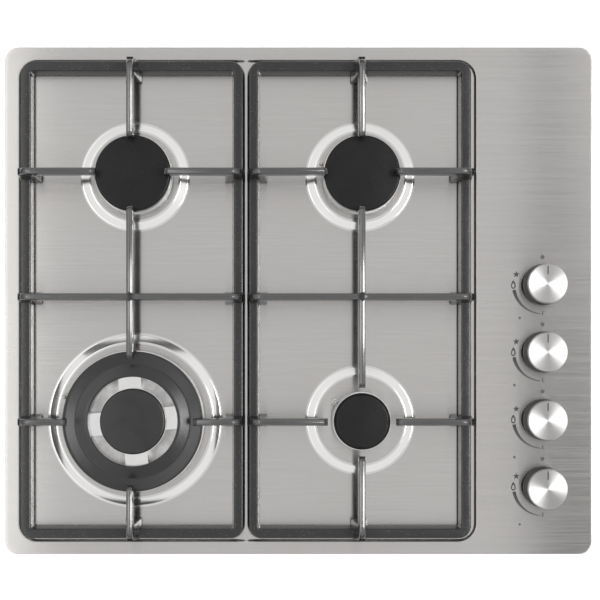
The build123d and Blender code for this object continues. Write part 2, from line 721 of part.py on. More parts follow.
# ================================================================ burners
for place, burner in burners.items():
    section = upright(burner.x, burner.y)
    axis = upright_axis(burner.x, burner.y)
    neck = cup_neck(burner)
    bore = neck - cup_wall
    skirt = bore - seat_play
    cap = burner.cap

    with BuildPart() as burner_cup:
        with BuildSketch(section):
            Polygon(*[
                (jet_radius - fit_gap, cup_low_z), (neck - cup_taper, cup_low_z), (neck, seat_z),
                (cap + crown_lip, seat_z), (cap + crown_lip, crown_z), (bore, crown_z),
                (bore, crown_z - crown_skirt - 1),
                (bore - cup_taper, cup_low_z + cup_wall),
                (jet_radius - fit_gap, cup_low_z + cup_wall),
            ], align=None)
        revolve(axis=axis)
        with Locations((burner.x, burner.y, cup_low_z)):
            Box(cup_boss, cup_boss, cup_boss_height, align=hanging)
    save(burner_cup, f"burner_cup_{place}")

    with BuildPart() as burner_crown:
        with BuildSketch(section):
            outer_wall = [
                (cap - crown_wall - crown_neck, crown_z + crown_floor),
                (cap - crown_wall - crown_neck, cap_z),
                (cap + crown_lip, cap_z), (cap - crown_neck, cap_z - crown_lip - crown_neck),
                (cap - crown_neck, crown_z + crown_waist),
                (cap - crown_neck - crown_taper, crown_z + crown_waist - crown_taper),
                (cap - crown_foot, crown_z + crown_floor), (cap - crown_foot, crown_z),
                (skirt, crown_z), (skirt, crown_z - crown_skirt),
                (skirt - crown_skirt_wall, crown_z - crown_skirt),
            ]
            if burner is wok:
                inner = wok_ring_bore
                hub = wok_inner_cap_radius
                Polygon(*outer_wall, *[
                    (skirt - crown_skirt_wall, crown_z), (hub - crown_wall - hub_floor_ring, crown_z),
                    (hub - crown_wall - hub_floor_ring, crown_z + crown_floor),
                    (hub - crown_wall - crown_neck, crown_z + crown_floor),
                    (hub - crown_wall - crown_neck, cap_z), (hub + crown_lip, cap_z),
                    (hub - crown_neck, cap_z - crown_lip - crown_neck),
                    (hub - crown_neck, crown_z + crown_floor), (inner, crown_z + crown_floor),
                    (inner, cap_z),
                    (inner + crown_wall, cap_z), (inner + crown_wall, crown_z + crown_floor),
                ], align=None)
            else:
                Polygon(*outer_wall, (skirt - crown_skirt_wall, crown_z + crown_floor), align=None)
        revolve(axis=axis)
        with Locations((burner.x, burner.y, crown_z + crown_waist + port_margin)):
            with PolarLocations(cap - crown_wall / 2 - crown_neck, burner.ports):
                Box(2 * crown_wall, port_width, port_height, align=standing,
                    mode=Mode.SUBTRACT)
            if burner is wok:
                with PolarLocations(hub - crown_wall / 2 - crown_neck, wok_hub_ports,
                                    start_angle=wok_port_turn):
                    Box(2 * crown_wall, port_width, port_height, align=standing,
                        mode=Mode.SUBTRACT)
        if burner is wok:
            with Locations((burner.x, burner.y, crown_z + crown_floor)):
                with PolarLocations((hub + inner) / 2, 4, start_angle=wok_bridge_turn):
                    Box(inner - hub + crown_wall, wok_bridge_width,
                        crown_height - crown_floor - wok_bridge_drop, align=standing)
            with Locations((burner.x, burner.y, crown_z)):
                with PolarLocations((inner + cap - crown_neck) / 2, 4, start_angle=45):
                    Cylinder(wok_gas_hole, crown_floor, align=standing,
                             mode=Mode.SUBTRACT)
    save(burner_crown, f"burner_crown_{place}")

    disc = wok_inner_cap_radius if burner is wok else cap
    rim_inside = disc - crown_wall - crown_neck - seat_play
    with BuildPart() as burner_cap:
        with BuildSketch(section):
            Polygon(*[
                (0, cap_z + cap_hollow), (rim_inside - cap_ring, cap_z + cap_hollow),
                (rim_inside - cap_ring, cap_z - cap_ring), (rim_inside, cap_z - cap_ring),
                (rim_inside, cap_z), (disc, cap_z), (disc, cap_top_z - burner.edge),
                (disc - burner.edge, cap_top_z), (0, cap_top_z),
            ], align=None)
        revolve(axis=axis)
    save(burner_cap, f"burner_cap_{place}")

# The large burner's ring cap has a shallow trough between its two rims.
ring_inner = wok_ring_bore
ring_outer = wok.cap
ring_slot = ring_inner + crown_wall + seat_play
with BuildPart() as wok_ring_cap:
    with BuildSketch(upright(wok.x, wok.y)):
        Polygon(*[
            (ring_inner, cap_z), (ring_inner, cap_top_z - cap_round), (ring_inner + cap_round, cap_top_z),
            ((ring_inner + ring_outer) / 2, cap_top_z - wok_trough), (ring_outer - cap_round, cap_top_z),
            (ring_outer, cap_top_z - cap_round), (ring_outer, cap_z), (ring_slot + cap_ring, cap_z),
            (ring_slot + cap_ring, cap_z - cap_ring), (ring_slot, cap_z - cap_ring), (ring_slot, cap_z),
        ], align=None)
    revolve(axis=upright_axis(wok.x, wok.y))
save(wok_ring_cap, "wok_ring_cap")

with BuildPart() as gas_jets:
    for burner in burners.values():
        with BuildSketch(Plane.XY.offset(cup_low_z + cup_wall)):
            with Locations((burner.x, burner.y)):
                RegularPolygon(jet_flats / 2, 6, major_radius=False)
        extrude(amount=jet_height)
        with Locations((burner.x, burner.y, cup_low_z + cup_wall)):
            Cylinder(jet_radius - 2 * fit_gap, cup_wall, align=hanging)
            Cylinder(jet_hole, jet_height, align=standing, mode=Mode.SUBTRACT)
save(gas_jets, "gas_jets")

# ================================================================ feed tubes
tube_start_x = tap_x - tap_outlet_reach
tube_row_y = burner_front_y + tube_row_offset
# Each tube runs straight from its tap, crosses over to a line of its own and reaches its burner along it.
tube_bends = {
    "rear_right": [(tube_start_x - rear_right_tube_run, None),
                   (burner_right_x + rear_right_tube_join, burner_rear_y)],
    "rear_left": [(tube_start_x - rear_left_tube_run, None),
                  (burner_left_x + rear_left_tube_join, burner_rear_y)],
    "front_left": [(tube_start_x - front_left_tube_run, None),
                   (tube_start_x - front_left_tube_cross, tube_row_y),
                   (burner_left_x + front_left_tube_return, tube_row_y),
                   (burner_left_x + front_left_tube_join, burner_front_y)],
    "front_right": [(tube_start_x - front_right_tube_run, None),
                    (burner_right_x + front_right_tube_join, burner_front_y)],
}
for tap in taps.values():
    burner = burners[tap.burner]
    route = [(tube_start_x, tap.y)]
    route += [(x, tap.y if y is None else y) for x, y in tube_bends[tap.burner]]
    route += [(burner.x + cup_boss / 2, burner.y)]
    with BuildPart() as feed_tube:
        with BuildLine():
            FilletPolyline(*[(x, y, port_z) for x, y in route], radius=tube_bend)
        with BuildSketch(Plane(origin=(tube_start_x, tap.y, port_z), x_dir=(0, 1, 0), z_dir=(-1, 0, 0))):
            Circle(tube_radius)
        sweep()
        with BuildSketch(Plane(origin=(tube_start_x, tap.y, port_z), x_dir=(0, 1, 0), z_dir=(-1, 0, 0))):
            RegularPolygon(tube_nut_flats / 2, 6, major_radius=False)
        extrude(amount=tube_nut_length)
    save(feed_tube, f"feed_tube_{tap.burner}")

# ================================================================ ignition
with BuildPart() as spark_electrodes:
    for burner in burners.values():
        x, y = electrode_place(burner)
        with BuildSketch(upright(x, y)):
            Polygon(*[
                (0, electrode_low_z), (electrode_radius, electrode_low_z),
                (electrode_radius, under_seat_z - electrode_collar),
                (electrode_radius + electrode_collar / 2, under_seat_z - electrode_collar),
                (electrode_radius + electrode_collar / 2, under_seat_z), (electrode_radius, under_seat_z),
                (electrode_radius, electrode_shoulder_z),
                (electrode_pin, electrode_shoulder_z + electrode_pin),
                (electrode_pin, electrode_tip_z), (0, electrode_tip_z),
            ], align=None)
        revolve(axis=upright_axis(x, y))
save(spark_electrodes, "spark_electrodes")

generator_low_x = generator_x - generator_length / 2
generator_high_x = generator_x + generator_length / 2
generator_low_y = generator_y - generator_width / 2
end_lead_x = generator_low_x + 2 * generator_corner
low_lead_y = generator_y + generator_corner
high_lead_y = generator_y + 3 * generator_corner
with BuildPart() as spark_generator:
    with BuildSketch(Plane.XY.offset(tray_sheet)):
        with Locations((generator_x, generator_y)):
            RectangleRounded(generator_length, generator_width, generator_corner)
    extrude(amount=generator_height)
    chamfer(spark_generator.faces().sort_by(Axis.Z)[-1].edges(), generator_corner / 3)
save(spark_generator, "spark_generator")

lead_z = tray_sheet + lead_radius + fit_gap
lead_turn_y = burner_front_y + lead_turn
lead_routes = {
    "rear_right": [(end_lead_x, generator_low_y), (end_lead_x, None)],
    "rear_left": [(generator_low_x, low_lead_y), (None, low_lead_y)],
    "front_left": [(generator_low_x, high_lead_y), (None, high_lead_y)],
    "front_right": [(generator_x, generator_low_y), (generator_x, lead_turn_y), (None, lead_turn_y)],
}
with BuildPart() as ignition_leads:
    for place, turns in lead_routes.items():
        end_x, end_y = electrode_place(burners[place])
        points = [(end_x if x is None else x, end_y if y is None else y, lead_z) for x, y in turns]
        points += [(end_x, end_y, lead_z), (end_x, end_y, electrode_low_z)]
        start = Vector(*points[0])
        heading = (Vector(*points[1]) - start).normalized()
        with BuildLine() as lead_path:
            FilletPolyline(*points, radius=lead_bend)
        with BuildSketch(Plane(origin=start, z_dir=heading)):
            Circle(lead_radius)
        sweep(path=lead_path.line)
    # One more lead joins the four tap switches.
    switch_x = tap_x - tap_radius - switch_depth
    first_y = min(tap.y for tap in taps.values()) - switch_length / 2
    points = [
        (switch_x - lead_radius, first_y, switch_z + switch_height / 2),
        (switch_x - lead_radius, generator_y, switch_z + switch_height / 2),
        (generator_high_x + switch_lead_reach, generator_y, switch_z + switch_height / 2),
        (generator_high_x + switch_lead_reach, generator_y, generator_height / 2),
        (generator_high_x, generator_y, generator_height / 2),
    ]
    with BuildLine() as lead_path:
        FilletPolyline(*points, radius=lead_bend)
    with BuildSketch(Plane(origin=points[0], z_dir=(0, 1, 0))):
        Circle(lead_radius)
    sweep(path=lead_path.line)
save(ignition_leads, "ignition_leads")

with BuildPart() as ignition_switches:
    with Locations(*[(switch_x, tap.y, switch_z) for tap in taps.values()]):
        Box(switch_depth, switch_length, switch_height, align=(Align.MIN, Align.CENTER, Align.MIN))
save(ignition_switches, "ignition_switches")

with BuildPart() as cable_gland:
    wall_y = tray_depth / 2
    with BuildSketch(facing_back(gland_x, wall_y, gland_height)):
        Circle(gland_flange)
        Circle(gland_bore, mode=Mode.SUBTRACT)
    extrude(amount=gland_flange_thickness)
    with BuildSketch(Plane(origin=(gland_x, wall_y, gland_height), x_dir=(1, 0, 0), z_dir=(0, -1, 0))):
        Circle(gland_neck - fit_gap)
        Circle(gland_bore, mode=Mode.SUBTRACT)
    extrude(amount=tray_sheet)
    inner_wall = (gland_x, wall_y - tray_sheet, gland_height)
    with BuildSketch(Plane(origin=inner_wall, x_dir=(1, 0, 0), z_dir=(0, -1, 0))):
        Circle(gland_flange)
        Circle(gland_bore, mode=Mode.SUBTRACT)
    extrude(amount=gland_flange_thickness)
save(cable_gland, "cable_gland")

# ================================================================ pan supports and their feet
half_length = support_length / 2
middle_y = (burner_rear_y + burner_front_y) / 2
finger_end = (leg_length - leg_top_length) / 2
draft = degrees(atan((bar_base - bar_top) / 2 / bar_height))
for side, support_x, sides in (
    ("left", left_support_x, ("rear_left", "front_left")),
    ("right", right_support_x, ("rear_right", "front_right")),
):
    rear, front = (burners[place] for place in sides)
    rear_reach = support_mid_y + half_length - rear.y
    front_reach = front.y - support_mid_y + half_length
    # Each arm: origin y, direction, reach to the frame's outer edge, tip radius, leg width.
    arms = [
        (rear.y, 0, support_width / 2, rear.tip, side_leg_width),
        (rear.y, 180, support_width / 2, rear.tip, side_leg_width),
        (rear.y, 90, rear_reach, rear.tip, end_leg_width),
        (front.y, 0, support_width / 2, front.tip, side_leg_width),
        (front.y, 180, support_width / 2, front.tip, side_leg_width),
        (front.y, 270, front_reach, front.tip, end_leg_width),
        (middle_y, 0, support_width / 2, 0, side_leg_width),
        (middle_y, 180, support_width / 2, 0, side_leg_width),
    ]
    with BuildPart() as pan_support:
        with BuildSketch(Plane.XY.offset(bar_z)):
            with Locations((support_x, support_mid_y)):
                RectangleRounded(support_width, support_length, support_corner)
        extrude(amount=bar_height, taper=draft)
        with BuildSketch(Plane.XY.offset(bar_z)):
            with Locations((support_x, support_mid_y)):
                RectangleRounded(support_width - 2 * bar_base, support_length - 2 * bar_base,
                                 support_corner / 3)
        extrude(amount=bar_height, taper=-draft, mode=Mode.SUBTRACT)
        chamfer(pan_support.faces().sort_by(Axis.Z)[-1].edges(), bar_edge)
        for origin_y, turn, reach, tip, leg_width in arms:
            along = (cos(radians(turn)), sin(radians(turn)), 0)
            low = Plane(origin=(support_x, origin_y, leg_z), x_dir=along, z_dir=(0, 0, 1))
            with BuildSketch(low):
                with Locations((reach - leg_length / 2, 0)):
                    Rectangle(leg_length, leg_width)
            with BuildSketch(low.offset(leg_top_z - leg_z)):
                with Locations((reach - leg_length / 2, 0)):
                    Rectangle(leg_top_length, finger_width)
            loft()
            end = reach - finger_end
            root = reach - leg_length + finger_end
            with BuildSketch(upright(support_x, origin_y, turn)):
                if tip:
                    Polygon(*[
                        (tip, support_top_z - finger_bevel), (tip + finger_bevel, support_top_z),
                        (end - finger_shoulder, support_top_z), (end, leg_top_z), (end, leg_top_z - 1),
                        (root, support_top_z - finger_depth), (tip + 1, support_top_z - finger_tip_depth),
                    ], align=None)
                else:
                    Polygon(*[
                        (-1, support_top_z), (end - finger_shoulder, support_top_z), (end, leg_top_z),
                        (end, leg_top_z - 1), (root, support_top_z - finger_depth),
                        (-1, support_top_z - finger_depth),
                    ], align=None)
            extrude(amount=finger_width / 2, both=True)
        # The long finger between the two burners has a tip at each end.
        low_y = front.y + front.tip
        high_y = rear.y - rear.tip
        with BuildSketch(upright(support_x, 0, 90)):
            Polygon(*[
                (low_y, support_top_z - finger_bevel), (low_y + finger_bevel, support_top_z),
                (high_y - finger_bevel, support_top_z), (high_y, support_top_z - finger_bevel),
                (high_y - 1, support_top_z - finger_tip_depth),
                (middle_y + finger_depth, support_top_z - finger_depth),
                (middle_y - finger_depth, support_top_z - finger_depth),
                (low_y + 1, support_top_z - finger_tip_depth),
            ], align=None)
        extrude(amount=finger_width / 2, both=True)
        near = 0.01
        top_edges = pan_support.edges().filter_by_position(Axis.Z, support_top_z - near,
                                                           support_top_z + near)
        chamfer(top_edges, finger_edge)
        # A small diamond web stiffens the place where the two middle fingers cross.
        with BuildSketch(Plane.XY.offset(support_top_z - web_drop)):
            with Locations((support_x, middle_y)):
                Rectangle(web_reach * sqrt(2), web_reach * sqrt(2), rotation=45)
        extrude(amount=web_drop - finger_depth + web_drop)
    save(pan_support, f"pan_support_{side}")

    foot_reach = support_width / 2 - foot_inset
    with BuildPart() as support_feet:
        with BuildSketch(Plane.XY.offset(well_z)):
            corners = [(support_x + sign * foot_reach, y) for sign in (-1, 1) for y in (rear.y, front.y)]
            with Locations(*corners):
                Circle(foot_radius)
        extrude(amount=leg_z - well_z)
    save(support_feet, f"support_feet_{side}")
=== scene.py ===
"""Looks of a built-in gas cooktop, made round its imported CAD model.

Lengths in the classes are millimetres in the CAD frame: X to the right, Y to the back, Z up.
They become metres where a mesh is written.
"""

import logging
from dataclasses import dataclass, field
from enum import Enum
from math import cos, pi, radians, sin

import bmesh
import bpy
import numpy as np
from mathutils import Matrix, Vector, geometry


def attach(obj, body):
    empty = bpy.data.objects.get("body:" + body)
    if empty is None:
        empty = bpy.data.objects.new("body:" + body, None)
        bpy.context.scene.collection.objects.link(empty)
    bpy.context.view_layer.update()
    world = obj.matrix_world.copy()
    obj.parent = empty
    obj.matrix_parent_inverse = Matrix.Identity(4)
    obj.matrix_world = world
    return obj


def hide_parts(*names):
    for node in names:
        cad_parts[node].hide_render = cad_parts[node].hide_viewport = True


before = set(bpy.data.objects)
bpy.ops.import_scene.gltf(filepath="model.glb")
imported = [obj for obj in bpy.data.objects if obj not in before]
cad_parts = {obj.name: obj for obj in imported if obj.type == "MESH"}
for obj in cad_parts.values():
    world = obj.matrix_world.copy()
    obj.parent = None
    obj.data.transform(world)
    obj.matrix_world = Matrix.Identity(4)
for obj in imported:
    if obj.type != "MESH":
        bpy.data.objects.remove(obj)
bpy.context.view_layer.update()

LOG = logging.getLogger("cooktop")
MM = 0.001
Tone = tuple[float, float, float]
Socket = bpy.types.NodeSocket
Material = bpy.types.Material
Piece = bpy.types.Object
Points = np.ndarray
Station = tuple[float, float, float]
UP = np.array([0.0, 0.0, 1.0])


# ------------------------------------------------------------------ surfaces as arrays
def rounded(corners: list[tuple[float, float]], radius: float, steps: int = 5) -> Points:
    """Rounds the inner corners of an open line in a plane.

    Each corner c becomes the curve (1-t)(1-t) a + 2t(1-t) c + tt b, where a and b lie on the line's two
    runs at the given distance from c, or half a run away where the run is shorter.

    Args:
        corners: the line's points, in order.
        radius: distance from a corner at which the curve starts.
        steps: pieces that each curve is divided into.

    Returns:
        The points of the rounded line, one row each.
    """
    line = np.array(corners, float)
    before, here, after = line[:-2], line[1:-1], line[2:]
    back = before - here
    ahead = after - here
    back_length = np.linalg.norm(back, axis=1, keepdims=True)
    ahead_length = np.linalg.norm(ahead, axis=1, keepdims=True)
    start = here + back / back_length * np.minimum(radius, back_length * 0.48)
    stop = here + ahead / ahead_length * np.minimum(radius, ahead_length * 0.48)
    t = np.linspace(0.0, 1.0, steps + 1)[None, :, None]
    curve = (1 - t) ** 2 * start[:, None] + 2 * t * (1 - t) * here[:, None] + t ** 2 * stop[:, None]
    return np.vstack([line[:1], curve.reshape(-1, 2), line[-1:]])


def directions(turn: Points) -> Points:
    """Unit directions in the plane at angles in radians, one row each."""
    return np.column_stack([np.cos(turn), np.sin(turn)])


def circle(segments: int) -> Points:
    """Unit directions all round, evenly spaced."""
    return directions(np.arange(segments) * 2 * pi / segments)


def rounded_rectangle(width: float, depth: float, corner: float,
                      per_corner: int = 10) -> tuple[Points, Points]:
    """Outline of a rounded rectangle about the origin, anticlockwise, with its outward directions.

    A point is its corner's centre plus the corner radius times its direction.

    Args:
        width: size along X.
        depth: size along Y.
        corner: corner radius.
        per_corner: pieces that each corner is divided into.

    Returns:
        The outline's points and the unit directions that point out of it, one row each.
    """
    turn = (np.arange(4)[:, None] * 90.0 + np.linspace(0.0, 90.0, per_corner + 1)[None, :]) * pi / 180
    out = np.stack([np.cos(turn), np.sin(turn)], axis=-1)
    sign = np.array([[1, 1], [-1, 1], [-1, -1], [1, -1]], float)
    centre = sign * np.array([width / 2 - corner, depth / 2 - corner])
    return (centre[:, None] + corner * out).reshape(-1, 2), out.reshape(-1, 2)


def stacked(rings: Points, heights: Points | list[float]) -> Points:
    """Flat rings of points, each raised to its own height."""
    height = np.broadcast_to(np.array(heights)[:, None, None], rings.shape[:2] + (1,))
    return np.concatenate([rings, height], axis=2)


def axes(turn: float) -> tuple[Points, Points]:
    """Unit directions in the plane along a bearing in degrees, and square to it."""
    along = np.array([cos(radians(turn)), sin(radians(turn)), 0.0])
    return along, np.array([-along[1], along[0], 0.0])


def carried(profile: Points, outline: Points, out: Points,
            centre: tuple[float, float] = (0.0, 0.0)) -> Points:
    """Carries an upright profile round a flat outline.

    A point is the outline's point plus the profile's offset times the outward direction, at the
    profile's height. Rows go along the profile and columns round the outline.

    Args:
        profile: offsets outwards and heights, one row each, from the inside to the outside.
        outline: points of the path.
        out: unit outward directions of the path.
        centre: where the path's own origin stands.

    Returns:
        A grid of points in space.
    """
    return stacked(outline[None] + profile[:, 0, None, None] * out[None] + np.array(centre), profile[:, 1])


def turned(profile: Points, centre: tuple[float, float], segments: int = 96) -> Points:
    """A surface of revolution: the profile's radii and heights, carried round an upright axis."""
    out = circle(segments)
    return carried(profile, np.zeros_like(out), out, centre)


def loft(centres: Points, half_a: Points, half_b: Points, corner: float, axis_a: Points,
         axis_b: Points, draft: float = 0.0, crown: float = 0.0, steps: int = 4, level: float = 0.12,
         slope: float = 0.62) -> Points:
    """Rounded-rectangle sections carried along a path.

    A section's point is its centre, plus or minus the half sizes less the corner radius, plus the corner
    radius times a direction that turns once round the section. With a crown, the top then falls evenly
    from a level middle strip towards both edges. Last, the first part is narrowed by the draft's share at
    the top, and widened by it at the bottom.

    Args:
        centres: the sections' centres, one row each.
        half_a: half sizes along axis_a, one for each section.
        half_b: half sizes along axis_b.
        corner: corner radius, cut down where a section is smaller.
        axis_a: unit direction of the first size.
        axis_b: unit direction of the second size.
        draft: share of the first half size that the sides lean in from the middle to the top.
        crown: how far the top falls from its level strip to its edges.
        steps: pieces that each corner is divided into.
        level: half width of the level strip, as a share of the first half size.
        slope: width of the crown's slope, as a share of the first half size.

    Returns:
        A grid of points: rows along the path, columns round the section.
    """
    turn = (np.arange(4)[:, None] * 90.0 + np.linspace(0.0, 90.0, steps + 1)[None, :]).reshape(-1) * pi / 180
    sign_a = np.repeat([1.0, -1.0, -1.0, 1.0], steps + 1)
    sign_b = np.repeat([1.0, 1.0, -1.0, -1.0], steps + 1)
    radius = np.minimum(corner, np.minimum(half_a, half_b))[:, None]
    a = sign_a * (half_a[:, None] - radius) + radius * np.cos(turn)
    b = sign_b * (half_b[:, None] - radius) + radius * np.sin(turn)
    if crown:
        ridge = level * half_a
        place = [steps + 1, steps + 1]
        a = np.insert(a, place, np.stack([ridge, -ridge], axis=1), axis=1)
        b = np.insert(b, place, np.stack([half_b, half_b], axis=1), axis=1)
        fall = np.clip((np.abs(a) - ridge[:, None]) / (slope * half_a[:, None]), 0.0, 1.0)
        b = b - crown * fall * (b > 0) * np.minimum(1.0, half_a[:, None])
    a = a * (1 - draft * b / half_b[:, None])
    return centres[:, None] + a[..., None] * axis_a + b[..., None] * axis_b


@dataclass
class Shell:
    """Points and faces of one piece, collected patch by patch, in millimetres."""

    points: list[Points] = field(default_factory=list)
    faces: list[Points] = field(default_factory=list)
    finishes: list[Points] = field(default_factory=list)
    count: int = 0

    def _keep(self, points: Points, faces: Points, finish: int) -> None:
        """Adds points, faces that count from the first of them, and the finish's number.

        Args:
            points: the points, in any grid.
            faces: rows of point numbers.
            finish: number of the material in the piece's list.
        """
        self.points.append(points.reshape(-1, 3))
        self.faces.append(faces + self.count)
        self.finishes.append(np.full(len(faces), finish))
        self.count += points.reshape(-1, 3).shape[0]

    def patch(self, grid: Points, around: bool = True, along: bool = False, finish: int = 0) -> None:
        """Adds a grid of points as four-sided faces.

        Args:
            grid: rows by columns by three.
            around: whether the last column joins the first.
            along: whether the last row joins the first.
            finish: number of the material in the piece's list.
        """
        rows, columns = grid.shape[:2]
        numbers = np.arange(rows * columns).reshape(rows, columns)
        if along:
            numbers = np.vstack([numbers, numbers[:1]])
        if around:
            numbers = np.hstack([numbers, numbers[:, :1]])
        faces = np.stack([numbers[:-1, :-1], numbers[1:, :-1], numbers[1:, 1:], numbers[:-1, 1:]], axis=-1)
        self._keep(grid, faces.reshape(-1, 4), finish)

    def land(self, outer: Points, holes: list[Points], height: float, finish: int = 0) -> None:
        """Fills the flat ground between an outline and the holes in it.

        The ground is divided into triangles whose edges hold to the outlines, and a triangle stays
        where its middle is inside the outer outline and in no hole.

        Args:
            outer: the outer outline's points, anticlockwise.
            holes: the holes' outlines.
            height: the ground's Z.
            finish: number of the material in the piece's list.
        """
        loops = [outer, *holes]
        starts = np.cumsum([0] + [len(loop) for loop in loops])
        edges = [(a + start, (a + 1) % len(loop) + start)
                 for loop, start in zip(loops, starts) for a in range(len(loop))]
        made = geometry.delaunay_2d_cdt([Vector(p) for p in np.vstack(loops)], edges, [], 0, 1e-6)
        flat = np.array([tuple(v) for v in made[0]])
        faces = np.array([tuple(f) for f in made[2]])
        middle = flat[faces].mean(axis=1)
        keep = inside(outer, middle)
        for hole in holes:
            keep &= ~inside(hole, middle)
        faces = faces[keep]
        a, b, c = (flat[faces[:, k]] for k in range(3))
        backward = np.cross(b - a, c - a) < 0
        faces[backward] = faces[backward][:, ::-1]
        self._keep(np.column_stack([flat, np.full(len(flat), height)]), faces, finish)

    def mesh(self, name: str, outwards: bool) -> bpy.types.Mesh:
        """Writes the patches as one mesh in metres, with doubles merged.

        Args:
            name: the mesh's name.
            outwards: whether the faces are turned outwards again, as a closed piece needs.

        Returns:
            The new mesh.
        """
        mesh = bpy.data.meshes.new(name)
        corners = np.concatenate([faces.reshape(-1) for faces in self.faces])
        sizes = np.concatenate([np.full(len(faces), faces.shape[1]) for faces in self.faces])
        points = np.vstack(self.points) * MM
        mesh.vertices.add(len(points))
        mesh.vertices.foreach_set("co", points.reshape(-1))
        mesh.loops.add(len(corners))
        mesh.loops.foreach_set("vertex_index", corners.astype(np.int32))
        mesh.polygons.add(len(sizes))
        mesh.polygons.foreach_set("loop_start", (np.cumsum(sizes) - sizes).astype(np.int32))
        mesh.polygons.foreach_set("material_index", np.concatenate(self.finishes).astype(np.int32))
        mesh.update(calc_edges=True)
        mesh.validate()
        work = bmesh.new()
        work.from_mesh(mesh)
        bmesh.ops.remove_doubles(work, verts=work.verts, dist=2e-6)
        bmesh.ops.dissolve_degenerate(work, edges=work.edges, dist=1e-7)
        if outwards:
            bmesh.ops.recalc_face_normals(work, faces=work.faces)
        work.to_mesh(mesh)
        work.free()
        return mesh


def inside(outline: Points, places: Points) -> Points:
    """Whether places lie inside a closed outline.

    A ray to the right of such a place crosses the outline's edges an odd number of times.

    Args:
        outline: the outline's points.
        places: the places asked about, one row each.

    Returns:
        One truth value for each place.
    """
    a, b = outline, np.roll(outline, -1, axis=0)
    x, y = places[:, 0, None], places[:, 1, None]
    rise = b[None, :, 1] - a[None, :, 1]
    rise = np.where(np.abs(rise) < 1e-12, 1e-12, rise)
    spans = (a[None, :, 1] > y) != (b[None, :, 1] > y)
    crossing = a[None, :, 0] + (y - a[None, :, 1]) / rise * (b[None, :, 0] - a[None, :, 0])
    return (spans & (x < crossing)).sum(axis=1) % 2 == 1


def smooth(mesh: bpy.types.Mesh, angle: float = 32.0) -> None:
    """Shades a mesh smooth, with edges sharper than the angle kept crisp."""
    mesh.shade_smooth()
    mesh.set_sharp_from_angle(angle=radians(angle))


def make_piece(shell: Shell, name: str, body: str, finishes: list["Finish"], stands_for: tuple[str, ...] = (),
               thickness: float = 0.0) -> Piece:
    """Turns a shell into a finished piece that rides on a body.

    Args:
        shell: the collected patches.
        name: the piece's name.
        body: the CAD body that carries it.
        finishes: its finishes, in the order of the patches' numbers.
        stands_for: CAD nodes that it replaces.
        thickness: wall thickness in millimetres for an open sheet, laid on its inner side.

    Returns:
        The new object.
    """
    mesh = shell.mesh(name, outwards=thickness == 0.0)
    piece = bpy.data.objects.new(name, mesh)
    bpy.context.scene.collection.objects.link(piece)
    for finish in finishes:
        mesh.materials.append(finish.material())
    if thickness:
        wall = piece.modifiers.new("wall", "SOLIDIFY")
        wall.thickness = thickness * MM
        wall.offset = -1.0
        wall.use_even_offset = False
        sheet = bpy.data.meshes.new_from_object(piece.evaluated_get(bpy.context.evaluated_depsgraph_get()))
        piece.modifiers.clear()
        piece.data = sheet
        bpy.data.meshes.remove(mesh)
        sheet.name = name
    smooth(piece.data)
    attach(piece, body)
    if stands_for:
        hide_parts(*stands_for)
    LOG.info("%s: %d faces", name, len(piece.data.polygons))
    return piece


def dress(node: str, finish: "Finish") -> None:
    """Gives a CAD node's object a finish, and reports it.

    Args:
        node: the CAD node's name.
        finish: its finish.
    """
    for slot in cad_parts[node].material_slots:
        slot.material = finish.material()
    LOG.info("%s: %s", node, finish.name)


# ------------------------------------------------------------------ shader tools
class Blend(Enum):
    """Ways to put one colour on another."""

    OVER = "MIX"
    TIMES = "MULTIPLY"


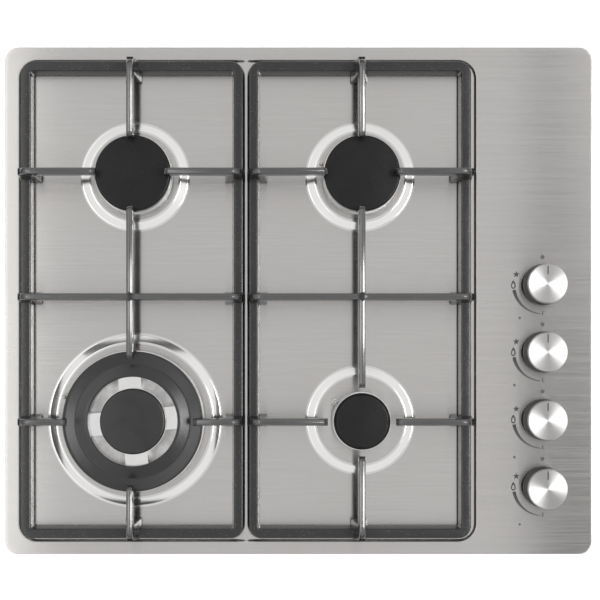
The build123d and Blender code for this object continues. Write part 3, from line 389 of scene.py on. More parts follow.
@dataclass
class NodeSheet:
    """A node tree that is being drawn."""

    tree: bpy.types.NodeTree

    def add(self, kind: str, values: dict[str | int, object] | None = None,
            **settings: object) -> bpy.types.Node:
        """Adds a node, sets its settings, and fills or links its inputs.

        Args:
            kind: the node's type name after ShaderNode.
            values: input names or numbers to a value or to a socket that feeds it.
            settings: attributes of the node.

        Returns:
            The new node.
        """
        node = self.tree.nodes.new("ShaderNode" + kind)
        for key, value in settings.items():
            setattr(node, key, value)
        for key, value in (values or {}).items():
            self.feed(node.inputs[key], value)
        return node

    def feed(self, socket: Socket, value: object) -> None:
        """Links a socket to another, or sets its value."""
        if isinstance(value, Socket):
            self.tree.links.new(value, socket)
        else:
            socket.default_value = value

    def math(self, operation: str, *values: object) -> Socket:
        """A Math node's result."""
        return self.add("Math", dict(enumerate(values)), operation=operation).outputs[0]

    def vector(self, operation: str, *values: object) -> Socket:
        """A Vector Math node's vector result."""
        return self.add("VectorMath", dict(enumerate(values)), operation=operation).outputs[0]

    def tone(self, low: Tone | Socket, high: Tone | Socket, mask: Socket,
             blend: Blend = Blend.OVER) -> Socket:
        """A colour between two tones or colours, by a mask.

        Args:
            low: the colour where the mask is 0.
            high: the colour where it is 1.
            mask: the mask.
            blend: how the second colour lies on the first.

        Returns:
            The mixed colour.
        """
        node = self.add("Mix", {0: mask}, data_type="RGBA", blend_type=blend.value)
        for socket, value in zip(node.inputs[6:8], (low, high)):
            self.feed(socket, value if isinstance(value, Socket) else (*value, 1.0))
        return node.outputs[2]

    def scaled(self, place: Socket, factor: float | Socket) -> Socket:
        """A vector times a number."""
        return self.add("VectorMath", {0: place, "Scale": factor}, operation="SCALE").outputs[0]

    def nearest(self, place: Socket, centre: object, pitch: object) -> Socket:
        """A place about the nearest of several equal centres that stand at a fixed pitch.

        It is the place less the first centre, wrapped to half a pitch either side.

        Args:
            place: the place on the object.
            centre: the first centre.
            pitch: the centres' distances along X, Y and Z.

        Returns:
            The wrapped place.
        """
        moved = self.vector("SUBTRACT", place, centre)
        half = self.vector("MULTIPLY", pitch, (0.5, 0.5, 0.5))
        low = self.vector("MULTIPLY", half, (-1.0, -1.0, -1.0))
        return self.vector("WRAP", moved, half, low)

    def share(self, first: Socket, second: Socket, share: float) -> Socket:
        """The first value's share and the second value's rest, added."""
        rest = self.math("MULTIPLY", second, 1.0 - share)
        return self.math("ADD", self.math("MULTIPLY", first, share), rest)

    def noise(self, place: Socket, detail: float, roughness: float = 0.5, scale: float = 1.0) -> Socket:
        """Fractal noise at a place."""
        values = {"Vector": place, "Scale": scale, "Detail": detail, "Roughness": roughness}
        return self.add("TexNoise", values).outputs[0]

    def span(self, value: Socket, low: float, high: float, to_low: float, to_high: float) -> Socket:
        """A value moved from one range to another and held inside it."""
        return self.add("MapRange", {0: value, 1: low, 2: high, 3: to_low, 4: to_high}, clamp=True).outputs[0]


class Kind(Enum):
    """Types of a group's inputs and outputs."""

    NUMBER = "NodeSocketFloat"
    VECTOR = "NodeSocketVector"


@dataclass(frozen=True)
class Effect:
    """A shader node group that several materials use, with named inputs and outputs."""

    name: str
    inputs: tuple[tuple[str, Kind, object], ...]
    outputs: tuple[tuple[str, Kind], ...]

    def group(self) -> bpy.types.NodeTree:
        """The group, drawn the first time that it is asked for.

        Returns:
            The group's node tree.
        """
        made = bpy.data.node_groups.get(self.name)
        if made:
            return made
        tree = bpy.data.node_groups.new(self.name, "ShaderNodeTree")
        for name, kind, value in self.inputs:
            tree.interface.new_socket(name, in_out="INPUT", socket_type=kind.value).default_value = value
        for name, kind in self.outputs:
            tree.interface.new_socket(name, in_out="OUTPUT", socket_type=kind.value)
        sheet = NodeSheet(tree)
        source = tree.nodes.new("NodeGroupInput").outputs
        target = tree.nodes.new("NodeGroupOutput").inputs
        for name, socket in self.draw(sheet, source).items():
            sheet.feed(target[name], socket)
        return tree

    def draw(self, sheet: NodeSheet, source: object) -> dict[str, Socket]:
        """Draws the group's nodes and returns the sockets of its outputs."""
        raise NotImplementedError

    def use(self, sheet: NodeSheet, **values: object) -> object:
        """Places the group in a material with its own values, and returns its outputs.

        Args:
            sheet: the material's sheet.
            values: input names, with _ for a space, to values or sockets.

        Returns:
            The placed group's outputs.
        """
        node = sheet.add("Group", node_tree=self.group())
        for key, value in values.items():
            sheet.feed(node.inputs[key.replace("_", " ")], value)
        return node.outputs


class Grain(Effect):
    """Long fine strokes that a brush left, as a mask and a height."""

    def draw(self, sheet: NodeSheet, source: object) -> dict[str, Socket]:
        """Noise stretched by a vector of frequencies, in a coarse and a fine layer.

        Args:
            sheet: the group's sheet.
            source: the group's input sockets.

        Returns:
            The sockets of the group's outputs, by name.
        """
        place = sheet.vector("MULTIPLY", source["Place"], source["Frequency"])
        finer = sheet.vector("MULTIPLY", place, (1.7, 2.9, 2.9))
        mixed = sheet.share(sheet.noise(place, 3.0, 0.65), sheet.noise(finer, 2.0, 0.6), 0.6)
        return {"Mask": sheet.span(mixed, 0.36, 0.64, 0.0, 1.0), "Height": mixed}


class Speckle(Effect):
    """Small scattered spots, as a mask, and the skin between them, as a height."""

    def draw(self, sheet: NodeSheet, source: object) -> dict[str, Socket]:
        """Spots where a cell's middle is near and the cell's own number is under the share.

        Args:
            sheet: the group's sheet.
            source: the group's input sockets.

        Returns:
            The sockets of the group's outputs, by name.
        """
        place = sheet.scaled(source["Place"], source["Frequency"])
        cells = sheet.add("TexVoronoi", {"Vector": place, "Scale": 1.0})
        near = sheet.span(cells.outputs["Distance"], 0.12, 0.28, 1.0, 0.0)
        number = sheet.add("SeparateXYZ", {0: cells.outputs["Color"]}).outputs[0]
        chosen = sheet.math("LESS_THAN", number, source["Share"])
        return {"Mask": sheet.math("MULTIPLY", near, chosen), "Height": sheet.noise(place, 3.0, scale=0.55)}


class Cloud(Effect):
    """Broad soft patches, such as wiped dust, handling marks or uneven casting."""

    def draw(self, sheet: NodeSheet, source: object) -> dict[str, Socket]:
        """Slow noise with two octaves, spread over the whole range."""
        cloud = sheet.noise(sheet.scaled(source["Place"], source["Frequency"]), 3.0, 0.55)
        return {"Mask": sheet.span(cloud, 0.32, 0.68, 0.0, 1.0)}


class Lathe(Effect):
    """The rings that a lathe left round the nearest of several centres, and a line engraved there."""

    def draw(self, sheet: NodeSheet, source: object) -> dict[str, Socket]:
        """Noise over the radius, and a mask between the line's half width and its two ends.

        Args:
            sheet: the group's sheet.
            source: the group's input sockets.

        Returns:
            The sockets of the group's outputs, by name.
        """
        local = sheet.nearest(source["Place"], source["Centre"], source["Pitch"])
        flat = sheet.vector("MULTIPLY", local, (1.0, 1.0, 0.0))
        radius = sheet.add("VectorMath", {0: flat}, operation="LENGTH").outputs["Value"]
        spread = sheet.add("CombineXYZ", {0: sheet.math("MULTIPLY", radius, source["Rings"])}).outputs[0]
        across, along, _ = sheet.add("SeparateXYZ", {0: local}).outputs
        narrow = sheet.math("LESS_THAN", sheet.math("ABSOLUTE", across), source["Half Width"])
        above = sheet.math("GREATER_THAN", along, source["Low"])
        below = sheet.math("LESS_THAN", along, source["High"])
        line = sheet.math("MULTIPLY", narrow, sheet.math("MULTIPLY", above, below))
        return {"Height": sheet.noise(spread, 4.0, 0.7), "Line": line}


PLACE = ("Place", Kind.VECTOR, (0, 0, 0))
GRAIN = Grain("brush_grain", (PLACE, ("Frequency", Kind.VECTOR, (10, 800, 800))),
              (("Mask", Kind.NUMBER), ("Height", Kind.NUMBER)))
SPECKLE = Speckle("speckle", (PLACE, ("Frequency", Kind.NUMBER, 600.0), ("Share", Kind.NUMBER, 0.1)),
                  (("Mask", Kind.NUMBER), ("Height", Kind.NUMBER)))
CLOUD = Cloud("cloud", (PLACE, ("Frequency", Kind.NUMBER, 8.0)), (("Mask", Kind.NUMBER),))
LATHE = Lathe(
    "lathe_rings",
    (PLACE, ("Centre", Kind.VECTOR, (0, 0, 0)), ("Pitch", Kind.VECTOR, (1, 1, 1)),
     ("Rings", Kind.NUMBER, 2500.0), ("Half Width", Kind.NUMBER, 0.0), ("Low", Kind.NUMBER, 0.0),
     ("High", Kind.NUMBER, 0.0)),
    (("Height", Kind.NUMBER), ("Line", Kind.NUMBER)))


@dataclass
class Skin(NodeSheet):
    """A material's node tree, with its Principled shader and the place on the object."""

    shader: bpy.types.Node
    place: Socket | None = None

    def set(self, name: str, value: object) -> None:
        """Feeds or sets one of the shader's inputs."""
        self.feed(self.shader.inputs[name], value)

    def rough(self, mask: Socket, low: float, high: float, start: float = 0.0, stop: float = 1.0) -> None:
        """Takes the roughness from low to high while a mask goes from start to stop."""
        self.set("Roughness", self.span(mask, start, stop, low, high))

    def cloud(self, frequency: float) -> Socket:
        """The mask of broad patches."""
        return CLOUD.use(self, Place=self.place, Frequency=frequency)["Mask"]

    def spots(self, frequency: float, share: float) -> object:
        """The mask and height of scattered spots."""
        return SPECKLE.use(self, Place=self.place, Frequency=frequency, Share=share)

    def height(self) -> Socket:
        """The place's Z."""
        return self.add("SeparateXYZ", {0: self.place}).outputs[2]

    def bump(self, height: Socket, strength: float, distance: float = 0.0002) -> None:
        """Feeds a height into the shader's normal through a Bump node."""
        node = self.add("Bump", {"Height": height, "Strength": strength, "Distance": distance})
        self.set("Normal", node.outputs[0])


# ------------------------------------------------------------------ finishes
@dataclass(frozen=True)
class Finish:
    """What a surface is made of."""

    name: str
    tone: Tone
    roughness: float = 0.5
    metallic: float = 0.0

    def material(self) -> Material:
        """The finish's material, drawn the first time that it is asked for.

        Returns:
            The material.
        """
        label = f"{self.name}_finish"
        made = bpy.data.materials.get(label)
        if made:
            return made
        material = bpy.data.materials.new(label)
        material.use_nodes = True
        skin = Skin(material.node_tree, material.node_tree.nodes["Principled BSDF"])
        skin.set("Base Color", (*self.tone, 1.0))
        skin.set("Roughness", self.roughness)
        skin.set("Metallic", self.metallic)
        skin.place = skin.add("TexCoord").outputs["Object"]
        self.draw(skin)
        return material

    def shade(self, share: float) -> Tone:
        """The finish's tone, made lighter or darker by a share."""
        return tuple(min(1.0, value * share) for value in self.tone)

    def draw(self, skin: Skin) -> None:
        """Draws the finish's own nodes."""
        raise NotImplementedError


@dataclass(frozen=True)
class BrushedSteel(Finish):
    """Stainless sheet brushed along X, so that what it mirrors is drawn out along Y."""

    stretch: float = 1.0
    frequency: tuple[float, float, float] = (9.0, 850.0, 850.0)
    wiped: Tone = (0.975, 0.97, 0.965)

    def draw(self, skin: Skin) -> None:
        """Brush strokes in tone, gloss and height, with faint wiped patches.

        Args:
            skin: the material's sheet.
        """
        grain = GRAIN.use(skin, Place=skin.place, Frequency=self.frequency)
        cloud = skin.cloud(7.0)
        strokes = skin.tone(self.shade(0.965), self.shade(1.035), grain["Mask"])
        skin.set("Base Color", skin.tone(strokes, self.wiped, cloud, Blend.TIMES))
        rough = skin.span(grain["Mask"], 0.0, 1.0, self.roughness - 0.03, self.roughness + 0.03)
        skin.set("Roughness", skin.math("ADD", rough, skin.span(cloud, 0.0, 1.0, -0.012, 0.012)))
        skin.set("Anisotropic", self.stretch)
        skin.set("Tangent", skin.add("CombineXYZ", {0: 0.0, 1: 1.0, 2: 0.0}).outputs[0])
        skin.bump(grain["Height"], 0.15)


@dataclass(frozen=True)
class TurnedMetal(Finish):
    """Metal with fine rings from a lathe, about the nearest of several centres.

    The mark is an engraved line's half width and its two ends along Y from the centre, in millimetres.
    """

    centre: tuple[float, float] = (0.0, 0.0)
    pitch: tuple[float, float] = (1000.0, 1000.0)
    stretch: float = 0.0
    rings: float = 2500.0
    depth: float = 0.05
    mark: tuple[float, float, float] = (0.0, 0.0, 0.0)
    mark_tone: Tone = (0.03, 0.03, 0.03)

    def tangent(self, skin: Skin, centre: tuple[float, ...], pitch: tuple[float, ...]) -> Socket:
        """The way out from the nearest centre, in the world: a ring's direction turned by a right angle.

        Args:
            skin: the material's sheet.
            centre: the first centre in metres.
            pitch: the centres' distances in metres.

        Returns:
            The direction that highlights are drawn out along.
        """
        flat = skin.vector("MULTIPLY", skin.nearest(skin.place, centre, pitch), (1.0, 1.0, 0.0))
        round_it = skin.vector("NORMALIZE", skin.vector("CROSS_PRODUCT", (0.0, 0.0, 1.0), flat))
        out = skin.vector("CROSS_PRODUCT", round_it, (0.0, 0.0, 1.0))
        return skin.add("VectorTransform", {0: out}, vector_type="VECTOR", convert_from="OBJECT",
                        convert_to="WORLD").outputs[0]

    def draw(self, skin: Skin) -> None:
        """Rings in tone, gloss and height, and the engraved line in tone.

        Args:
            skin: the material's sheet.
        """
        centre = (self.centre[0] * MM, self.centre[1] * MM, 0.0)
        pitch = (self.pitch[0] * MM, self.pitch[1] * MM, 10.0)
        width, low, high = (size * MM for size in self.mark)
        lathe = LATHE.use(skin, Place=skin.place, Centre=centre, Pitch=pitch, Rings=self.rings,
                          Half_Width=width, Low=low, High=high)
        rings = lathe["Height"]
        tone = skin.tone(self.shade(0.93), self.shade(1.05), skin.span(rings, 0.35, 0.65, 0.0, 1.0))
        skin.set("Base Color", skin.tone(tone, self.mark_tone, lathe["Line"]) if width else tone)
        skin.rough(rings, self.roughness * 0.85, self.roughness * 1.15, 0.3, 0.7)
        if self.stretch:
            skin.set("Anisotropic", self.stretch)
            skin.set("Tangent", self.tangent(skin, centre, pitch))
        skin.bump(rings, self.depth)


@dataclass(frozen=True)
class CastMetal(Finish):
    """Die-cast or cast metal with a fine grainy skin."""

    frequency: float = 900.0
    depth: float = 0.25

    def draw(self, skin: Skin) -> None:
        """A grainy height, and cloudy tone and gloss.

        Args:
            skin: the material's sheet.
        """
        spots = skin.spots(self.frequency, 0.25)
        cloud = skin.cloud(60.0)
        patches = skin.share(spots["Mask"], cloud, 0.5)
        skin.set("Base Color", skin.tone(self.shade(1.08), self.shade(0.82), patches))
        skin.rough(cloud, self.roughness - 0.06, self.roughness + 0.08)
        skin.bump(spots["Height"], self.depth, 0.0003)


@dataclass(frozen=True)
class MachinedCastingShadedHollows(Finish):
    """A casting whose faces above a level are machined bright, and whose hollows below it are drawn darker:
    partly their cast skin and partly painted shade.
    """

    level: float = 70.0
    # cast: share of the tone kept below the level, a cast skin darkened further as painted shade
    cast: float = 0.4
    cast_roughness: float = 0.5

    def draw(self, skin: Skin) -> None:
        """Machined or cast by height, with a cloudy tone and a grainy skin in the hollows, which are darkened
        partly as cast skin and partly as painted shade.

        Args:
            skin: the material's sheet.
        """
        machined = skin.span(skin.height(), (self.level - 0.4) * MM, self.level * MM, 0.0, 1.0)
        cloud = skin.cloud(90.0)
        spots = skin.spots(1300.0, 0.3)
        # painted shade: the hollows below the level are drawn darker than the machined faces, besides their
        # cast skin
        shaded_hollow = skin.tone(self.shade(self.cast * 0.8), self.shade(self.cast * 1.2), cloud)
        skin.set("Base Color", skin.tone(shaded_hollow, skin.tone(self.shade(0.94), self.tone, cloud), machined))
        skin.rough(machined, self.cast_roughness, self.roughness)
        left = skin.span(machined, 0.0, 1.0, 1.0, 0.15)
        skin.bump(skin.math("MULTIPLY", spots["Height"], left), 0.2, 0.0003)


@dataclass(frozen=True)
class Enamel(Finish):
    """Vitreous enamel: a satin skin with pinpoint specks."""

    specks: Tone = (0.2, 0.2, 0.2)
    frequency: float = 420.0
    share: float = 0.05
    depth: float = 0.12
    gloss: float = 0.5
    index: float = 1.5

    def draw(self, skin: Skin) -> None:
        """Specks in the tone, a slightly uneven skin, and cloudy gloss.

        Args:
            skin: the material's sheet.
        """
        spots = skin.spots(self.frequency, self.share)
        skin.set("Base Color", skin.tone(self.tone, self.specks, spots["Mask"]))
        skin.rough(skin.cloud(45.0), self.roughness - 0.04, self.roughness + 0.05)
        skin.set("Specular IOR Level", self.gloss)
        skin.set("IOR", self.index)
        skin.bump(spots["Height"], self.depth, 0.0004)


@dataclass(frozen=True)
class Moulded(Finish):
    """Moulded plastic or rubber with a fine tool texture."""

    frequency: float = 1600.0
    depth: float = 0.2

    def draw(self, skin: Skin) -> None:
        """A fine texture in height, and slight patches in tone and gloss.

        Args:
            skin: the material's sheet.
        """
        cloud = skin.cloud(80.0)
        skin.set("Base Color", skin.tone(self.shade(0.88), self.shade(1.15), cloud))
        skin.rough(cloud, self.roughness - 0.05, self.roughness + 0.05)
        skin.bump(skin.spots(self.frequency, 0.3)["Height"], self.depth)


@dataclass(frozen=True)
class Galvanised(Finish):
    """Zinc-coated sheet with its frosted spangle."""

    frequency: float = 90.0

    def draw(self, skin: Skin) -> None:
        """Flat cells that differ in tone and gloss.

        Args:
            skin: the material's sheet.
        """
        large = skin.scaled(skin.place, self.frequency)
        cells = skin.add("TexVoronoi", {"Vector": large, "Scale": 1.0}).outputs["Color"]
        number = skin.add("SeparateXYZ", {0: cells}).outputs[1]
        cloud = skin.cloud(12.0)
        skin.set("Base Color", skin.tone(self.shade(0.86), self.shade(1.1), skin.share(number, cloud, 0.6)))
        skin.rough(number, self.roughness - 0.08, self.roughness + 0.08)
        skin.bump(cloud, 0.08, 0.0004)


@dataclass(frozen=True)
class ElectrodeFinish(Finish):
    """Glazed ceramic up to a level in metres, with a bare metal pin above it."""

    level: float = 0.0673
    pin: Tone = (0.42, 0.4, 0.37)

    def draw(self, skin: Skin) -> None:
        """Ceramic or metal by height.

        Args:
            skin: the material's sheet.
        """
        metal = skin.math("GREATER_THAN", skin.height(), self.level)
        ceramic = skin.tone(self.shade(0.95), self.tone, skin.cloud(300.0))
        skin.set("Base Color", skin.tone(ceramic, self.pin, metal))
        skin.set("Metallic", metal)
        skin.rough(metal, self.roughness, 0.4)


@dataclass(frozen=True)
class Ink(Finish):
    """Printed ink, slightly worn and uneven."""

    def draw(self, skin: Skin) -> None:
        """Uneven ink: cloudy tone and gloss.

        Args:
            skin: the material's sheet.
        """
        cloud = skin.cloud(500.0)
        skin.set("Base Color", skin.tone(self.tone, self.shade(1.5), cloud))
        skin.rough(cloud, 0.45, 0.6)


@dataclass(frozen=True)
class Plain(Finish):
    """Floor paper: pale and matt."""

    def draw(self, skin: Skin) -> None:
        """A pale tone over a soft glow, as of a lit table.

        Args:
            skin: the material's sheet.
        """
        skin.set("Specular IOR Level", 0.0)
        skin.set("Emission Color", (1.0, 1.0, 1.0, 1.0))
        skin.set("Emission Strength", 0.55)


# ------------------------------------------------------------------ places shared by the sub-assemblies
@dataclass(frozen=True)
class Burner:
    """One burner's place and sizes."""

    key: str
    x: float
    y: float
    seat: float
    cap: float
    cap_edge: float
    tip: float
    bearing: float

    @property
    def neck(self) -> float:
        """Radius of the cup's neck in the plate."""
        return self.cap - 6.5

    @property
    def electrode(self) -> tuple[float, float]:
        """Where the electrode stands.

        Returns:
            Its X and Y.
        """
        turn = radians(self.bearing)
        reach = self.cap + 3.8
        return (self.x + reach * cos(turn), self.y + reach * sin(turn))


BURNERS = (
    Burner("rear_left", -161.3, 122.0, 52.0, 36.7, 1.5, 32.8, 172.0),
    Burner("rear_right", 60.1, 122.0, 52.0, 36.7, 1.5, 32.8, 165.0),
    Burner("front_left", -161.3, -117.5, 84.1, 67.8, 1.5, 60.5, 161.0),
    Burner("front_right", 60.1, -117.5, 52.0, 27.4, 2.5, 32.8, 144.0),
)
KNOB_PITCH = 66.2
KNOBS = tuple((239.5, 15.7 - KNOB_PITCH * index) for index in range(4))


# ------------------------------------------------------------------ the finishes of this cooktop
METAL = 1.0
FAR = 4000.0  # a pitch longer than the cooktop, where there is one centre
BLACK = (0.01, 0.01, 0.0102)
SPECKS = (0.12, 0.12, 0.12)
CAP_SPECKS = (0.05, 0.05, 0.05)
PLATE_STEEL = BrushedSteel("plate_brushed", (0.59, 0.576, 0.562), 0.22, METAL)
SEAT_STEEL = TurnedMetal("seat_polished", (0.74, 0.735, 0.725), 0.15, METAL,
                         centre=(BURNERS[0].x, BURNERS[0].y), pitch=(221.4, 239.5), rings=1500.0, depth=0.02)
SUPPORT_ENAMEL = Enamel("support_enamel", BLACK, 0.24, specks=SPECKS, frequency=700.0, share=0.16, depth=0.2,
                        index=1.55)
FINGER_ENAMEL = Enamel("finger_enamel", BLACK, 0.2, specks=SPECKS, frequency=700.0, share=0.1, depth=0.15,
                       index=2.0)
CAP_ENAMEL = Enamel("cap_enamel", (0.008, 0.008, 0.0083), 0.3, specks=CAP_SPECKS, frequency=640.0, share=0.07,
                    depth=0.15, gloss=0.2)
RING_ENAMEL = Enamel("ring_enamel", (0.004, 0.004, 0.0042), 0.33, specks=CAP_SPECKS, frequency=640.0,
                     share=0.07, depth=0.12, index=1.55)
# the crown's channels below the bridge tops are drawn darker: cast skin and painted shade
CROWN_ALLOY = MachinedCastingShadedHollows("crown_alloy", (0.9, 0.89, 0.88), 0.12, METAL, level=73.9, cast=0.6,
                              cast_roughness=0.4)
CUP_ALLOY = CastMetal("cup_alloy", (0.6, 0.6, 0.59), 0.42, METAL, frequency=1200.0, depth=0.2)
TAP_ALLOY = CastMetal("tap_alloy", (0.56, 0.56, 0.56), 0.45, METAL, frequency=900.0, depth=0.3)
BRASS = TurnedMetal("machined_brass", (0.72, 0.55, 0.26), 0.3, METAL, pitch=(FAR, FAR), rings=900.0,
                    depth=0.04)
STEEL = TurnedMetal("turned_steel", (0.6, 0.6, 0.59), 0.3, METAL, centre=KNOBS[0], pitch=(FAR, KNOB_PITCH),
                    depth=0.04)
TUBE = CastMetal("drawn_tube", (0.72, 0.72, 0.72), 0.3, METAL, frequency=500.0, depth=0.05)
ZINC = Galvanised("galvanised", (0.33, 0.335, 0.34), 0.42, METAL)
FIXING = CastMetal("zinc_plated", (0.66, 0.65, 0.6), 0.35, METAL, frequency=1500.0, depth=0.1)
KNOB_BLACK = Moulded("knob_black", (0.006, 0.006, 0.006), 0.5, frequency=1800.0, depth=0.15)
KNOB_FACE = TurnedMetal("knob_spun", (0.41, 0.405, 0.4), 0.32, METAL, centre=KNOBS[0],
                        pitch=(FAR, KNOB_PITCH), stretch=0.9, rings=5200.0, depth=0.12, mark=(0.5, 9.1, 17.2))
RUBBER = Moulded("black_rubber", (0.018, 0.018, 0.018), 0.7, frequency=900.0, depth=0.3)
FOAM = Moulded("foam_strip", (0.035, 0.035, 0.035), 0.9, frequency=700.0, depth=0.8)
BLACK_PLASTIC = Moulded("black_plastic", (0.03, 0.03, 0.03), 0.5, frequency=1500.0, depth=0.2)
PALE_PLASTIC = Moulded("pale_plastic", (0.62, 0.6, 0.55), 0.5, frequency=1500.0, depth=0.15)
SILICONE = Moulded("lead_silicone", (0.6, 0.59, 0.56), 0.55, frequency=1500.0, depth=0.1)
CERAMIC = ElectrodeFinish("electrode", (0.8, 0.79, 0.75), 0.22)
INK = Ink("dial_ink", (0.05, 0.05, 0.05), 0.5)
FLOOR = Plain("floor_paper", (0.85, 0.85, 0.85), 0.9)


# ------------------------------------------------------------------ sub-assemblies
@dataclass
class HobPlate:
    """The pressed stainless top: rim, margin, well and raised burner seats."""

    width: float = 580.0
    depth: float = 500.0
    corner: float = 14.0
    top: float = 56.0
    lip: float = 50.6
    sheet: float = 1.0
    rim_round: float = 1.6
    well_width: float = 450.0
    well_length: float = 474.0
    well_x: float = -50.5
    well_corner: float = 18.0
    well_depth: float = 2.0
    seat_rise: float = 4.0
    seat_slope: float = 6.9
    bend: float = 0.5
    strip: float = 2.0
    wall_half: float = 1.6
    rim_strip: float = 4.0
    spindle_hole: float = 6.3
    electrode_hole: float = 3.0
    neck_gap: float = 0.5
    stud: float = 2.0
    stud_length: float = 9.0
    stud_bevel: float = 0.6
    well_studs: tuple[tuple[float, float], ...] = (
        (-270.7, -150.0), (-270.7, 150.0), (-50.5, -231.7), (-50.5, 231.7))
    margin_studs: tuple[tuple[float, float], ...] = ((270.7, -210.0), (270.7, 110.0))

    def studs(self) -> Piece:
        """The weld studs that hang the tray: a turned rod each, with a bevelled end below.

        Returns:
            The studs as one piece.
        """
        shell = Shell()
        under = self.top - self.sheet
        for places, high in ((self.well_studs, under - self.well_depth), (self.margin_studs, under)):
            low = high - self.stud_length
            rod = np.array([(0.01, high), (self.stud, high), (self.stud, low + self.stud_bevel),
                            (self.stud - self.stud_bevel, low), (0.01, low)])
            for place in places:
                shell.patch(turned(rod[::-1], place, 20))
        return make_piece(shell, "hob_studs", "cooktop", [FIXING], ("hob_plate",))

    def seat_profile(self, burner: Burner) -> Points:
        """Radii and heights from inside a seat's flat top, over its slope, to the well's floor.

        Args:
            burner: the burner that stands on the seat.

        Returns:
            The profile's points, from the inside out.
        """
        floor = self.top - self.well_depth
        crest = floor + self.seat_rise
        inner = burner.seat - self.seat_slope
        return rounded([(inner - self.strip, crest), (inner, crest), (burner.seat, floor),
                        (burner.seat + self.strip, floor)], self.bend)

    def build(self) -> Piece:
        """Builds the plate: flat lands, with swept and turned strips between them.

        Returns:
            The plate.
        """
        shell = Shell()
        floor = self.top - self.well_depth
        outline, out = rounded_rectangle(self.width, self.depth, self.corner, 12)
        rim = rounded([(-self.rim_strip, self.top), (0.0, self.top), (0.0, self.lip)], self.rim_round, 7)
        shell.patch(carried(rim, outline, out))
        well, well_out = rounded_rectangle(self.well_width, self.well_length, self.well_corner, 12)
        wall = rounded([(-self.strip - self.wall_half, floor), (-self.strip, floor), (0.0, self.top),
                        (self.wall_half, self.top)], self.bend)
        shell.patch(carried(wall, well, well_out, (self.well_x, 0.0)))
        centre = np.array([self.well_x, 0.0])
        round_out = circle(96)
        holes = [np.array(place) + round_out[::4] * self.spindle_hole for place in KNOBS]
        shell.land(outline - self.rim_strip * out, [well + self.wall_half * well_out + centre, *holes],
                   self.top)
        seats = [np.array([b.x, b.y]) + round_out * (b.seat + self.strip) for b in BURNERS]
        shell.land(well - (self.strip + self.wall_half) * well_out + centre, seats, floor)
        crest = floor + self.seat_rise
        for burner in BURNERS:
            place = np.array([burner.x, burner.y])
            shell.patch(turned(self.seat_profile(burner), (burner.x, burner.y)), finish=1)
            hole = np.array(burner.electrode) + round_out[::4] * self.electrode_hole
            shell.land(place + round_out * (burner.seat - self.seat_slope - self.strip),
                       [place + round_out[::2] * (burner.neck + self.neck_gap), hole], crest)
        return make_piece(shell, "hob_top", "cooktop", [PLATE_STEEL, SEAT_STEEL], ("hob_plate",),
                          self.sheet)


